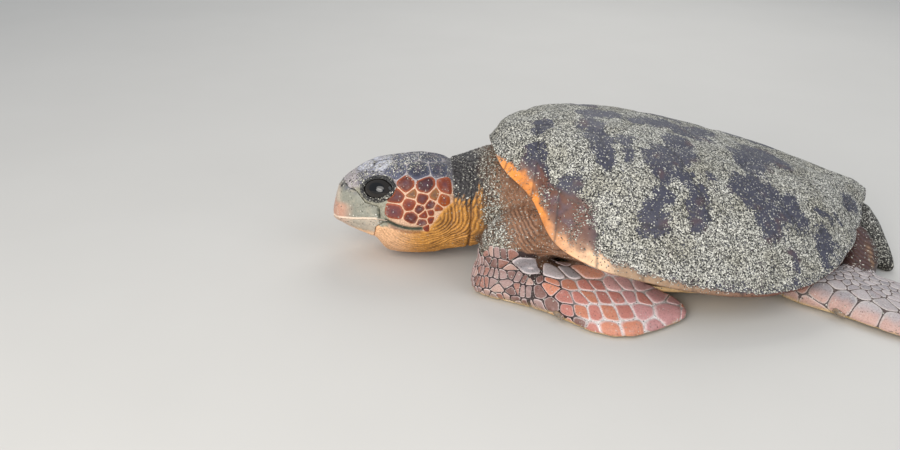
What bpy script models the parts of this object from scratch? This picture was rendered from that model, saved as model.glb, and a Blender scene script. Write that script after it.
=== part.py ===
"""Loggerhead turtle, a still life-size model resting on its belly.

Frame: metres, +Z up. The head points to -X, the tail to +X and the animal's left side to -Y.
The origin is on the floor, under the middle of the flat belly.
The flesh is parted into head, neck, trunk, arms, flippers and tail. Shell, beak, eyes and claws
are pieces of their own. Pieces that touch keep a gap of PART between them.
"""

import math

import bmesh
import bpy
import numpy as np
from mathutils import Matrix

# ---- Driving dimensions -------------------------------------------------------------------

SHELL = 0.85            # length scale of the shell's outline
SHELL_WALL = 0.012      # thickness of the carapace
PART = 0.0003           # gap between pieces that touch
GROW = 0.00045          # how far a cutter stands out from the piece it copies

# Carapace margin at each seam between marginal plates, from the nape to the last plate's middle:
# share of SHELL from the front, half width as a share of SHELL, height above the floor.
MARGIN = [
    (0.028, 0.000, 0.246),
    (0.034, 0.055, 0.238),
    (0.050, 0.114, 0.219),
    (0.102, 0.187, 0.188),
    (0.145, 0.270, 0.130),
    (0.227, 0.330, 0.104),
    (0.318, 0.367, 0.094),
    (0.419, 0.388, 0.083),
    (0.524, 0.393, 0.074),
    (0.629, 0.373, 0.071),
    (0.728, 0.325, 0.076),
    (0.814, 0.248, 0.091),
    (0.878, 0.159, 0.106),
    (0.926, 0.073, 0.125),
    (0.968, 0.000, 0.139),
]
MARGIN_STEPS = 3        # columns of faces on each marginal plate
SERRATED_FROM = 7       # the margin's seam where the notches begin to deepen
SERRATION = 0.003       # depth of the notches between the hind marginal plates
KEEL_REACH = 0.80       # the keel line's length as a share of the outline's
KEEL_SHIFT = -0.012     # its middle lies this far ahead of the outline's

# Height of the keel line along X.
KEEL = [
    (-0.345, 0.285),
    (-0.310, 0.298),
    (-0.240, 0.304),
    (-0.180, 0.300),
    (-0.100, 0.287),
    (0.020, 0.257),
    (0.110, 0.232),
    (0.200, 0.205),
    (0.285, 0.175),
    (0.345, 0.155),
]

# Cross-section of the dome: distance from the margin to the keel, share of the height reached.
DOME = [
    (0.00, 0.00),
    (0.10, 0.22),
    (0.25, 0.54),
    (0.45, 0.80),
    (0.70, 0.95),
    (1.00, 1.00),
]
DOME_ROWS = 9           # odd, because the inner surface takes every second row

# Plastron outline: X, half width. Its middle is flat on the floor and its edge turns up.
PLASTRON = [
    (-0.335, 0.000),
    (-0.328, 0.050),
    (-0.292, 0.105),
    (-0.225, 0.155),
    (-0.130, 0.232),
    (0.000, 0.258),
    (0.100, 0.240),
    (0.190, 0.158),
    (0.265, 0.095),
    (0.308, 0.042),
    (0.315, 0.000),
]
PLASTRON_COLUMNS = 23
END_RISE = 0.2          # rise of the front and hind edges, as a share of the bridges'
MIDDLE_REACH = 0.55     # length of the middle line that the rows run in to, as a share
EDGE_THINNING = 0.4     # the edge is thinner than the wall by this share
PLASTRON_WALL = 0.016
PLASTRON_RISE = 0.038   # how far the outer edge of the bridge stands over the floor
# Rows across the plastron from its edge to the middle: share of the half width, share of the rise.
PLASTRON_ROWS = [(1.0, 1.0), (0.86, 0.45), (0.62, 0.0), (0.0, 0.0)]

# The trunk's widest belt: X, half width, height.
BELT = [
    (-0.398, 0.000, 0.120),
    (-0.400, 0.075, 0.120),
    (-0.385, 0.140, 0.115),
    (-0.335, 0.195, 0.110),
    (-0.260, 0.220, 0.095),
    (-0.130, 0.270, 0.083),
    (0.000, 0.290, 0.077),
    (0.130, 0.265, 0.076),
    (0.225, 0.205, 0.074),
    (0.300, 0.145, 0.072),
    (0.352, 0.085, 0.072),
    (0.368, 0.000, 0.080),
]
BELT_COLUMNS = 21
BELT_DEPTH = 0.010      # how far the belt's upright face runs down before the trunk turns under
BELT_TAPER = (0.985, 0.97, 1)   # the belt's lower edge, as shares of X, Y and Z
LIP_TAPER = (0.95, 0.93, 1)     # the trunk's edge under the shell's margin, the same way
LIP_DROP = 0.012        # room under the shell's wall at its margin
ROOF_DROP = 0.008       # and further in
ROOF_ROWS = 6
TRUNK_FOOT = 0.93       # the trunk's outline on the plastron, as a share of the plastron's

# Head sections: X, lowest point, height of the widest point, top, half width.
HEAD = [
    (-0.711, 0.080, 0.088, 0.099, 0.010),
    (-0.706, 0.077, 0.092, 0.122, 0.022),
    (-0.698, 0.074, 0.098, 0.150, 0.033),
    (-0.682, 0.066, 0.102, 0.168, 0.045),
    (-0.657, 0.055, 0.106, 0.184, 0.059),
    (-0.625, 0.042, 0.108, 0.197, 0.072),
    (-0.612, 0.022, 0.107, 0.200, 0.076),
    (-0.595, 0.011, 0.106, 0.203, 0.081),
    (-0.560, 0.008, 0.106, 0.207, 0.088),
    (-0.520, 0.009, 0.106, 0.208, 0.091),
    (-0.475, 0.018, 0.106, 0.197, 0.084),
]
HEAD_BACK = HEAD[-1][0]
HEAD_ROUND = (2.7, 2.3)  # roundness of the upper and the lower half of a section
HEAD_RINGS = 17
BLOCK_HALF_WIDTH = 0.15  # the cutters that part the beak reach past the head on both sides
HEAD_SIDES = 24
NECK_RINGS = 5

NECK = [
    (HEAD_BACK, 0.018, 0.106, 0.197, 0.084),
    (-0.440, 0.024, 0.112, 0.207, 0.088),
    (-0.400, 0.034, 0.118, 0.222, 0.096),
    (-0.360, 0.040, 0.120, 0.226, 0.100),
    (-0.320, 0.050, 0.120, 0.215, 0.095),
]

# Horny beak seen from the side, as X, Z corners. The two pieces part along the mouth line.
MOUTH_LINE = [
    (-0.740, 0.080), (-0.706, 0.0865), (-0.690, 0.091), (-0.672, 0.0945),
    (-0.650, 0.0995), (-0.625, 0.1035), (-0.603, 0.1035),
]
MOUTH_GAP = 0.001
BEAK_UPPER = MOUTH_LINE + [
    (-0.618, 0.108), (-0.620, 0.130), (-0.646, 0.134), (-0.662, 0.152), (-0.740, 0.168),
]
BEAK_LOWER = [(x, z - MOUTH_GAP) for x, z in MOUTH_LINE] + [
    (-0.619, 0.094), (-0.627, 0.086), (-0.630, 0.060), (-0.644, 0.020), (-0.740, 0.020),
]

EYE = (-0.619, 0.055, 0.161)    # X, half distance between the centres, height
EYE_RADII = (0.031, 0.016, 0.022)   # fore and aft, in and out, up and down
EYE_FORWARD = 22        # degrees that each eye looks ahead of straight sideways
EYE_UPWARD = 28         # degrees above level

# Left front flipper from elbow to tip: X, Y, height of the middle, half chord, half thickness,
# turn of the chord in the floor's plane, tilt of the chord (trailing edge up), both in degrees.
FRONT_FLIPPER = [
    (-0.436, -0.150, 0.034, 0.012, 0.014, 62, 14),
    (-0.426, -0.153, 0.036, 0.040, 0.030, 62, 14),
    (-0.400, -0.163, 0.036, 0.053, 0.034, 62, 14),
    (-0.350, -0.186, 0.035, 0.057, 0.031, 63, 14),
    (-0.300, -0.212, 0.034, 0.062, 0.027, 64, 14),
    (-0.250, -0.243, 0.032, 0.073, 0.022, 66, 15),
    (-0.205, -0.272, 0.031, 0.083, 0.018, 70, 16),
    (-0.160, -0.288, 0.029, 0.076, 0.014, 74, 15),
    (-0.115, -0.293, 0.024, 0.056, 0.011, 70, 13),
    (-0.075, -0.294, 0.018, 0.028, 0.008, 64, 10),
    (-0.060, -0.294, 0.014, 0.007, 0.004, 60, 8),
]
HIND_FLIPPER = [
    (0.150, -0.175, 0.040, 0.020, 0.020, 40, 12),
    (0.170, -0.190, 0.038, 0.044, 0.030, 42, 12),
    (0.210, -0.210, 0.034, 0.058, 0.030, 44, 12),
    (0.260, -0.238, 0.031, 0.068, 0.024, 46, 11),
    (0.310, -0.275, 0.028, 0.077, 0.018, 48, 10),
    (0.360, -0.318, 0.023, 0.076, 0.013, 50, 8),
    (0.405, -0.358, 0.017, 0.060, 0.009, 52, 6),
    (0.440, -0.388, 0.012, 0.034, 0.006, 52, 5),
    (0.452, -0.398, 0.010, 0.010, 0.004, 52, 4),
]
FLIPPER_ROUND = 1.9
LEADING_FULLNESS = 0.28  # how much thicker the leading edge is than the middle
FLIPPER_RINGS = 15
FLIPPER_SIDES = 12

# Left arm and thigh: X, Y, Z, radius, for the round limb between trunk and flipper.
ARM = [
    (-0.300, -0.130, 0.110, 0.055),
    (-0.345, -0.150, 0.105, 0.060),
    (-0.380, -0.162, 0.085, 0.054),
    (-0.394, -0.168, 0.052, 0.040),
]
THIGH = [
    (0.265, -0.060, 0.080, 0.040),
    (0.310, -0.110, 0.070, 0.046),
    (0.318, -0.155, 0.054, 0.042),
    (0.302, -0.195, 0.036, 0.030),
]
TAIL = [
    (0.300, 0.000, 0.080, 0.044),
    (0.352, -0.004, 0.079, 0.052),
    (0.380, -0.020, 0.059, 0.048),
    (0.396, -0.046, 0.040, 0.038),
    (0.408, -0.072, 0.026, 0.028),
    (0.418, -0.094, 0.014, 0.018),
    (0.424, -0.110, 0.006, 0.007),
]
LIMB_RINGS = 8
LIMB_SIDES = 12

# Claws: place along the flipper as a share of its length, direction in degrees from +X.
CLAWS = {"front": (0.46, -70), "hind": (0.40, -75)}
CLAW_LENGTH = 0.022
CLAW_RADIUS = 0.006
CLAW_SIDES = 8

COLOURS = {
    "horny_shell": ((0.16, 0.15, 0.15), 0.60),
    "pale_plate": ((0.62, 0.50, 0.30), 0.55),
    "skin": ((0.36, 0.26, 0.20), 0.65),
    "scaly_head": ((0.30, 0.13, 0.08), 0.50),
    "flipper_skin": ((0.42, 0.24, 0.18), 0.60),
    "beak_horn": ((0.48, 0.45, 0.32), 0.40),
    "eye": ((0.01, 0.01, 0.01), 0.08),
    "claw_horn": ((0.20, 0.14, 0.09), 0.45),
}


# ---- Curves and sections ------------------------------------------------------------------


def through(stations, at):
    """Points at the parameters `at` on smooth curves through the stations (parameter first)."""
    rows = np.array(stations, float)
    knots, values = rows[:, 0], rows[:, 1:]
    slopes = np.gradient(values, knots, axis=0)
    at = np.atleast_1d(np.asarray(at, float))
    i = np.clip(np.searchsorted(knots, at) - 1, 0, len(knots) - 2)
    span = (knots[i + 1] - knots[i])[:, None]
    u = ((at - knots[i])[:, None]) / span
    return (
        values[i] * (1 + 2 * u) * (1 - u) ** 2
        + slopes[i] * span * u * (1 - u) ** 2
        + values[i + 1] * u * u * (3 - 2 * u)
        + slopes[i + 1] * span * u * u * (u - 1)
    )


def along(stations, count):
    """`count` rows spread evenly over a list of stations that has no parameter of its own."""
    numbered = [(i, *row) for i, row in enumerate(stations)]
    return through(numbered, np.linspace(0, len(stations) - 1, count))


def rounded(angle, roundness):
    """Unit superellipse at an angle: 2 is a circle, more is squarer."""
    c, s = math.cos(angle), math.sin(angle)
    return (
        math.copysign(abs(c) ** (2 / roundness), c),
        math.copysign(abs(s) ** (2 / roundness), s),
    )


# ---- Meshes -------------------------------------------------------------------------------


def new_object(name, verts, faces, colour):
    mesh = bpy.data.meshes.new(name)
    mesh.from_pydata([tuple(v) for v in verts], [], faces)
    shape = bmesh.new()
    shape.from_mesh(mesh)
    bmesh.ops.triangulate(shape, faces=shape.faces)
    bmesh.ops.recalc_face_normals(shape, faces=shape.faces)
    shape.to_mesh(mesh)
    shape.free()
    mesh.shade_smooth()
    mesh.set_sharp_from_angle(angle=math.radians(50))
    obj = bpy.data.objects.new(name, mesh)
    bpy.context.scene.collection.objects.link(obj)
    mesh.materials.append(material(colour))
    return obj


def material(name):
    found = bpy.data.materials.get(name)
    if found:
        return found
    colour, roughness = COLOURS[name]
    made = bpy.data.materials.new(name)
    made.use_nodes = True
    shader = made.node_tree.nodes["Principled BSDF"]
    shader.inputs["Base Color"].default_value = (*colour, 1)
    shader.inputs["Roughness"].default_value = roughness
    shader.inputs["Metallic"].default_value = 0
    made.diffuse_color = (*colour, 1)
    return made


def loft(name, rings, colour):
    """A closed tube through rings of equal count, capped at both ends."""
    count = len(rings[0])
    verts = [point for ring in rings for point in ring]
    faces = []
    for r in range(len(rings) - 1):
        for i in range(count):
            j = (i + 1) % count
            faces.append((r * count + i, r * count + j, (r + 1) * count + j, (r + 1) * count + i))
    last = (len(rings) - 1) * count
    faces.append(tuple(range(count)))
    faces.append(tuple(last + i for i in range(count)))
    return new_object(name, verts, faces, colour)


def lens(name, upper, lower, colour):
    """A closed solid, the same on both sides of Y=0, from an upper and a lower surface.

    Each surface is an array [column along the outline][row from the outline to the middle].
    First and last column and the last row lie on Y=0."""
    verts, index, faces = [], {}, []

    def vertex(surface, layer, side, k, j):
        on_middle = k in (0, len(surface) - 1) or j == len(surface[0]) - 1
        key = (layer, 0 if on_middle else side, k, j)
        if key not in index:
            x, y, z = surface[k][j]
            index[key] = len(verts)
            verts.append((x, 0 if on_middle else side * y, z))
        return index[key]

    for side in (-1, 1):
        for layer, surface in enumerate((upper, lower)):
            for k in range(len(surface) - 1):
                for j in range(len(surface[0]) - 1):
                    corners = ((k, j), (k + 1, j), (k + 1, j + 1), (k, j + 1))
                    ring = [vertex(surface, layer, side, *corner) for corner in corners]
                    faces.append(tuple(dict.fromkeys(ring)))
        for k in range(len(upper) - 1):
            faces.append((
                vertex(upper, 0, side, k, 0), vertex(upper, 0, side, k + 1, 0),
                vertex(lower, 1, side, k + 1, 0), vertex(lower, 1, side, k, 0),
            ))
    return new_object(name, verts, faces, colour)


def normals(surface):
    """Outward normals of a surface array whose middle lies on Y=0."""
    along_k = np.gradient(surface, axis=0)
    along_j = np.gradient(surface, axis=1)
    out = np.cross(along_j, along_k)
    out[:, -1] = out[:, -2]
    out[0, :, 1] = out[-1, :, 1] = out[:, -1, 1] = 0
    out /= np.linalg.norm(out, axis=2, keepdims=True)
    return out * np.sign(out[:, :, 2:3].mean())


# ---- Shell --------------------------------------------------------------------------------


def margin(steps):
    """The carapace's edge from nape to tail end, `steps` columns to each marginal plate."""
    count = (len(MARGIN) - 1) * steps + 1
    share = along(MARGIN, count)
    edge = np.column_stack([(share[:, 0] - 0.5) * SHELL, share[:, 1] * SHELL, share[:, 2]])
    place = np.linspace(0, len(MARGIN) - 1, count)
    notch = np.clip((place - SERRATED_FROM) / 3, 0, 1) * (1 - np.sin(math.pi * (place % 1)))
    outward = edge[:, :2] / np.linalg.norm(edge[:, :2], axis=1, keepdims=True)
    edge[:, :2] -= outward * (SERRATION * notch)[:, None]
    edge[[0, -1], 1] = 0
    return edge


def dome(steps, rows):
    """The carapace's outer surface as an array of columns and rows."""
    edge = margin(steps)
    keel_x = edge[:, 0] * KEEL_REACH + KEEL_SHIFT
    keel_z = through(KEEL, keel_x)[:, 0]
    surface = np.zeros((len(edge), rows, 3))
    for j, inward in enumerate(np.linspace(0, 1, rows) ** 1.15):
        rise = through(DOME, inward)[0, 0]
        surface[:, j, 0] = edge[:, 0] + (keel_x - edge[:, 0]) * inward
        surface[:, j, 1] = edge[:, 1] * (1 - inward)
        surface[:, j, 2] = edge[:, 2] + (keel_z - edge[:, 2]) * rise
    return surface


def inner(surface, depth):
    return surface - normals(surface) * depth


def carapace():
    outer = dome(MARGIN_STEPS, DOME_ROWS)
    return lens("carapace", outer, inner(outer, SHELL_WALL)[:, ::2], "horny_shell")


def belly(columns, reach=1.0):
    """The plastron's lower surface: rows from its edge to the middle line.

    Its edge stands highest at the bridges, where the plastron is widest."""
    outline = along(PLASTRON, columns) * reach
    bridge = np.clip(outline[:, 1] / max(outline[:, 1]), 0, 1) ** 2
    surface = np.zeros((columns, len(PLASTRON_ROWS), 3))
    for j, (share, rise) in enumerate(PLASTRON_ROWS):
        surface[:, j, 0] = outline[:, 0] * (MIDDLE_REACH + (1 - MIDDLE_REACH) * share)
        surface[:, j, 1] = outline[:, 1] * share
        surface[:, j, 2] = PLASTRON_RISE * rise * (END_RISE + (1 - END_RISE) * bridge)
    return surface


def plastron():
    lower = belly(PLASTRON_COLUMNS)
    upper = lower + (0, 0, PLASTRON_WALL)
    upper[:, 0, 2] -= PLASTRON_WALL * EDGE_THINNING
    return lens("plastron", upper, lower, "pale_plate")


# ---- Flesh --------------------------------------------------------------------------------


def roof(columns):
    """The shell's hollow, as a surface of `columns` columns."""
    hollow = inner(dome(2, ROOF_ROWS), SHELL_WALL + 2 * PART)
    places = np.linspace(0, len(hollow) - 1, columns)
    low = np.floor(places).astype(int)
    high = np.minimum(low + 1, len(hollow) - 1)
    share = (places - low)[:, None, None]
    return hollow[low] * (1 - share) + hollow[high] * share


def trunk():
    """The body between the two shells, bulging out in front at the shoulders."""
    belt = along(BELT, BELT_COLUMNS)
    ceiling = roof(BELT_COLUMNS)
    lip = ceiling[:, 1] * LIP_TAPER - (0, 0, LIP_DROP)
    middle = (belt + lip) / 2 + (lip - belt) * (0, 0, 0.12)
    under_shell = ceiling[:, 2:] - (0, 0, ROOF_DROP)
    upper = np.concatenate([np.stack([belt, middle, lip], axis=1), under_shell], axis=1)
    brim = belt * BELT_TAPER - (0, 0, BELT_DEPTH)
    foot = belly(BELT_COLUMNS, TRUNK_FOOT) + (0, 0, PLASTRON_WALL + 2 * PART)
    lower = np.concatenate([brim[:, None], foot], axis=1)
    return lens("trunk", upper, lower, "skin")


def sections(stations, count, sides, roundness):
    """Upright rings along X from (X, low, middle, top, half width) stations."""
    rings = []
    for x, low, middle, top, half in along(stations, count):
        ring = []
        for i in range(sides):
            angle = 2 * math.pi * i / sides
            upper_half = math.sin(angle) >= 0
            across, up = rounded(angle, roundness[0 if upper_half else 1])
            reach = top - middle if upper_half else middle - low
            ring.append((x, half * across, middle + reach * up))
        rings.append(ring)
    return rings


def head_form(name, colour):
    return loft(name, sections(HEAD, HEAD_RINGS, HEAD_SIDES, HEAD_ROUND), colour)


def neck():
    rings = sections(NECK, NECK_RINGS, HEAD_SIDES, HEAD_ROUND)
    rings[0] = [(x + PART, y, z) for x, y, z in rings[0]]
    return loft("neck", rings, "skin")


def flipper(name, stations, side, colour):
    """A flat limb resting on the floor: its section is thick near the leading edge."""
    rings = []
    for x, y, z, chord, thick, turn, tilt in along(stations, FLIPPER_RINGS):
        turn, tilt = math.radians(turn), math.radians(tilt)
        back = np.array([math.cos(turn) * math.cos(tilt), math.sin(turn) * math.cos(tilt), math.sin(tilt)])
        ring = []
        for i in range(FLIPPER_SIDES):
            angle = 2 * math.pi * i / FLIPPER_SIDES
            across, up = rounded(angle, FLIPPER_ROUND)
            fullness = 1 - LEADING_FULLNESS * across
            point = np.array([x, y, z]) + back * chord * across + np.array([0, 0, thick * up * fullness])
            ring.append((point[0], -side * point[1], max(point[2], 0)))
        rings.append(ring)
    return loft(name, rings, colour)


def limb(name, stations, side, colour):
    """A round limb: rings square to its path."""
    path = along(stations, LIMB_RINGS)
    points = path[:, :3] * (1, -side, 1)
    heading = np.gradient(points, axis=0)
    rings = []
    for point, ahead, radius in zip(points, heading, path[:, 3]):
        ahead = ahead / np.linalg.norm(ahead)
        across = np.cross(ahead, (0, 0, 1))
        across /= np.linalg.norm(across)
        up = np.cross(across, ahead)
        ring = []
        for i in range(LIMB_SIDES):
            angle = 2 * math.pi * i / LIMB_SIDES
            place = point + radius * (math.cos(angle) * across + math.sin(angle) * up)
            ring.append((place[0], place[1], max(place[2], 0)))
        rings.append(ring)
    return loft(name, rings, colour)


# ---- Small hard pieces --------------------------------------------------------------------


def prism(name, outline, half_width):
    """A cutter: an outline in X, Z carried right across the head."""
    rings = [[(x, y, z) for x, z in outline] for y in (-half_width, half_width)]
    return loft(name, rings, "beak_horn")


def eye(name, side):
    bpy.ops.mesh.primitive_uv_sphere_add(segments=12, ring_count=7, radius=1)
    ball = bpy.context.object
    ball.name = name
    ball.data.name = name
    ball.data.transform(Matrix.Diagonal((*EYE_RADII, 1)))
    ball.location = (EYE[0], side * EYE[1], EYE[2])
    ball.rotation_euler = (side * math.radians(EYE_UPWARD), 0, side * math.radians(EYE_FORWARD))
    ball.data.shade_smooth()
    ball.data.materials.append(material("eye"))
    return ball


def leading_edge(stations, share):
    """The point of a flipper's leading edge at a share of its length."""
    x, y, z, chord, _, turn, tilt = along(stations, 101)[round(100 * share)]
    turn, tilt = math.radians(turn), math.radians(tilt)
    flat = chord * math.cos(tilt)
    return x - flat * math.cos(turn), y - flat * math.sin(turn), z - chord * math.sin(tilt)


def claw(name, place, turn, side):
    x, y, z = place
    z = max(z, CLAW_RADIUS + PART)
    ahead = np.array([math.cos(math.radians(turn)), math.sin(math.radians(turn)), 0])
    across = np.array([-ahead[1], ahead[0], 0])
    rings = []
    for share in (-0.35, 0.1, 0.6, 1):
        radius = CLAW_RADIUS * (1 - 0.9 * max(share, 0) ** 1.5)
        middle = np.array([x, y, z]) + ahead * CLAW_LENGTH * share
        ring = []
        for i in range(CLAW_SIDES):
            angle = 2 * math.pi * i / CLAW_SIDES
            point = middle + radius * (math.cos(angle) * across + math.sin(angle) * np.array([0, 0, 1]))
            ring.append((point[0], -side * point[1], point[2]))
        rings.append(ring)
    return loft(name, rings, "claw_horn")


# ---- Parting ------------------------------------------------------------------------------


def as_cutter(obj):
    obj.hide_render = True
    obj.display_type = "WIRE"
    return obj


def grown(obj):
    """A cutter copy of a piece, standing out from it by GROW all round."""
    copy = obj.copy()
    copy.data = obj.data.copy()
    copy.name = obj.name + "_cutter"
    copy.modifiers.clear()
    bpy.context.scene.collection.objects.link(copy)
    shape = bmesh.new()
    shape.from_mesh(copy.data)
    shape.normal_update()
    for vert in shape.verts:
        vert.co += vert.normal * GROW * vert.calc_shell_factor()
    shape.to_mesh(copy.data)
    shape.free()
    return as_cutter(copy)


def combine(obj, cutter, operation="DIFFERENCE"):
    step = obj.modifiers.new(cutter.name, "BOOLEAN")
    step.operation = operation
    step.object = cutter
    step.solver = "EXACT"


def build():
    for obj in list(bpy.data.objects):
        bpy.data.objects.remove(obj, do_unlink=True)

    shell = carapace()
    belly = plastron()
    body = trunk()
    shell_cutter, belly_cutter, body_cutter = grown(shell), grown(belly), grown(body)

    head = head_form("head", "scaly_head")
    for name, outline in (("beak_upper", BEAK_UPPER), ("beak_lower", BEAK_LOWER)):
        block = as_cutter(prism(name + "_block", outline, BLOCK_HALF_WIDTH))
        combine(head_form(name, "beak_horn"), block, "INTERSECT")
        combine(head, grown(block))
    for side, word in ((-1, "left"), (1, "right")):
        combine(head, grown(eye("eye_" + word, side)))

    throat = neck()
    neck_cutter = grown(throat)
    for cutter in (body_cutter, shell_cutter):
        combine(throat, cutter)
    tail = limb("tail", TAIL, -1, "skin")
    for cutter in (body_cutter, shell_cutter, belly_cutter):
        combine(tail, cutter)

    for side, word in ((-1, "left"), (1, "right")):
        for place, blade, root in (("front", FRONT_FLIPPER, ARM), ("hind", HIND_FLIPPER, THIGH)):
            fin = flipper(f"flipper_{place}_{word}", blade, side, "flipper_skin")
            upper = limb(("arm_" if place == "front" else "thigh_") + word, root, side, "skin")
            for cutter in (body_cutter, belly_cutter):
                combine(fin, cutter)
            for cutter in (grown(fin), body_cutter, shell_cutter, belly_cutter, neck_cutter):
                combine(upper, cutter)
            share, turn = CLAWS[place]
            nail = claw(f"claw_{place}_{word}", leading_edge(blade, share), turn, side)
            combine(nail, grown(fin))


build()
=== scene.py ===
"""Loggerhead turtle, a still life-size model: the skin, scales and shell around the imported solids.

Metres, +Z up. The head points to -X, the tail to +X and the animal's left side to -Y.
"""

import itertools
import math

import bmesh
import bpy
import numpy as np
from mathutils import Matrix, Vector
from mathutils.bvhtree import BVHTree


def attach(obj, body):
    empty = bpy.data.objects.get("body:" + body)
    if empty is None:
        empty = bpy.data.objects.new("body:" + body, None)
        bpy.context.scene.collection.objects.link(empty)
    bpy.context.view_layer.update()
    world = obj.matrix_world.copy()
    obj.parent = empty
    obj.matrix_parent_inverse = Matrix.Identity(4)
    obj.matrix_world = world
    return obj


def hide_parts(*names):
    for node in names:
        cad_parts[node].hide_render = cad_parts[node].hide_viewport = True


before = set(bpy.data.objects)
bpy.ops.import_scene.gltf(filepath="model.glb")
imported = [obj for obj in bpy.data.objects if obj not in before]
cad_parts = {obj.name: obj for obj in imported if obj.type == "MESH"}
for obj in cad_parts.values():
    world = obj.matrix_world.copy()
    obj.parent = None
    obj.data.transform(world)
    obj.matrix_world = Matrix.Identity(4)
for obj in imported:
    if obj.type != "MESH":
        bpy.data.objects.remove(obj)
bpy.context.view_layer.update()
FLESH = ["head", "neck", "trunk", "tail"]
FLESH += [f"{limb}_{word}" for limb in ("arm", "thigh", "flipper_front", "flipper_hind")
          for word in ("left", "right")]
MM = 0.001
SIDES = ((-1, "left"), (1, "right"))

# ---- Forms shared with the solids ---------------------------------------------------------

SHELL = 0.85            # length scale of the shell's outline
SHELL_WALL = 0.012
MARGIN = [
    (0.028, 0.000, 0.246), (0.034, 0.055, 0.238), (0.050, 0.114, 0.219), (0.102, 0.187, 0.188),
    (0.145, 0.270, 0.130), (0.227, 0.330, 0.104), (0.318, 0.367, 0.094), (0.419, 0.388, 0.083),
    (0.524, 0.393, 0.074), (0.629, 0.373, 0.071), (0.728, 0.325, 0.076), (0.814, 0.248, 0.091),
    (0.878, 0.159, 0.106), (0.926, 0.073, 0.125), (0.968, 0.000, 0.139),
]
SERRATED_FROM = 7
SERRATION = 0.003
KEEL_REACH = 0.80
KEEL_SHIFT = -0.012
KEEL = [
    (-0.345, 0.285), (-0.310, 0.298), (-0.240, 0.304), (-0.180, 0.300), (-0.100, 0.287),
    (0.020, 0.257), (0.110, 0.232), (0.200, 0.205), (0.285, 0.175), (0.345, 0.155),
]
DOME = [(0.00, 0.00), (0.10, 0.22), (0.25, 0.54), (0.45, 0.80), (0.70, 0.95), (1.00, 1.00)]
PLASTRON = [
    (-0.335, 0.000), (-0.328, 0.050), (-0.292, 0.105), (-0.225, 0.155), (-0.130, 0.232),
    (0.000, 0.258), (0.100, 0.240), (0.190, 0.158), (0.265, 0.095), (0.308, 0.042), (0.315, 0.000),
]
PLASTRON_WALL = 0.016
PLASTRON_RISE = 0.038
END_RISE = 0.2
MIDDLE_REACH = 0.55
EDGE_THINNING = 0.4
PLASTRON_ROWS = [(1.0, 1.0), (0.86, 0.45), (0.62, 0.0), (0.0, 0.0)]
FRONT_FLIPPER = [
    (-0.436, -0.150, 0.034, 0.012, 0.014, 62, 14), (-0.426, -0.153, 0.036, 0.040, 0.030, 62, 14),
    (-0.400, -0.163, 0.036, 0.053, 0.034, 62, 14), (-0.350, -0.186, 0.035, 0.057, 0.031, 63, 14),
    (-0.300, -0.212, 0.034, 0.062, 0.027, 64, 14), (-0.250, -0.243, 0.032, 0.073, 0.022, 66, 15),
    (-0.205, -0.272, 0.031, 0.083, 0.018, 70, 16), (-0.160, -0.288, 0.029, 0.076, 0.014, 74, 15),
    (-0.115, -0.293, 0.024, 0.056, 0.011, 70, 13), (-0.075, -0.294, 0.018, 0.028, 0.008, 64, 10),
    (-0.060, -0.294, 0.014, 0.007, 0.004, 60, 8),
]
HIND_FLIPPER = [
    (0.150, -0.175, 0.040, 0.020, 0.020, 40, 12), (0.170, -0.190, 0.038, 0.044, 0.030, 42, 12),
    (0.210, -0.210, 0.034, 0.058, 0.030, 44, 12), (0.260, -0.238, 0.031, 0.068, 0.024, 46, 11),
    (0.310, -0.275, 0.028, 0.077, 0.018, 48, 10), (0.360, -0.318, 0.023, 0.076, 0.013, 50, 8),
    (0.405, -0.358, 0.017, 0.060, 0.009, 52, 6), (0.440, -0.388, 0.012, 0.034, 0.006, 52, 5),
    (0.452, -0.398, 0.010, 0.010, 0.004, 52, 4),
]
FLIPPER_ROUND = 1.9
LEADING_FULLNESS = 0.28
EYE = (-0.619, 0.055, 0.161)
EYE_RADII = (0.031, 0.016, 0.022)
EYE_FORWARD = 22
EYE_UPWARD = 28


def srgb(red, green, blue):
    """A colour given on the usual 0 to 255 scale, as the linear light that a shader takes."""
    values = np.array([red, green, blue]) / 255
    return np.where(values <= 0.04045, values / 12.92, ((values + 0.055) / 1.055) ** 2.4)


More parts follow.
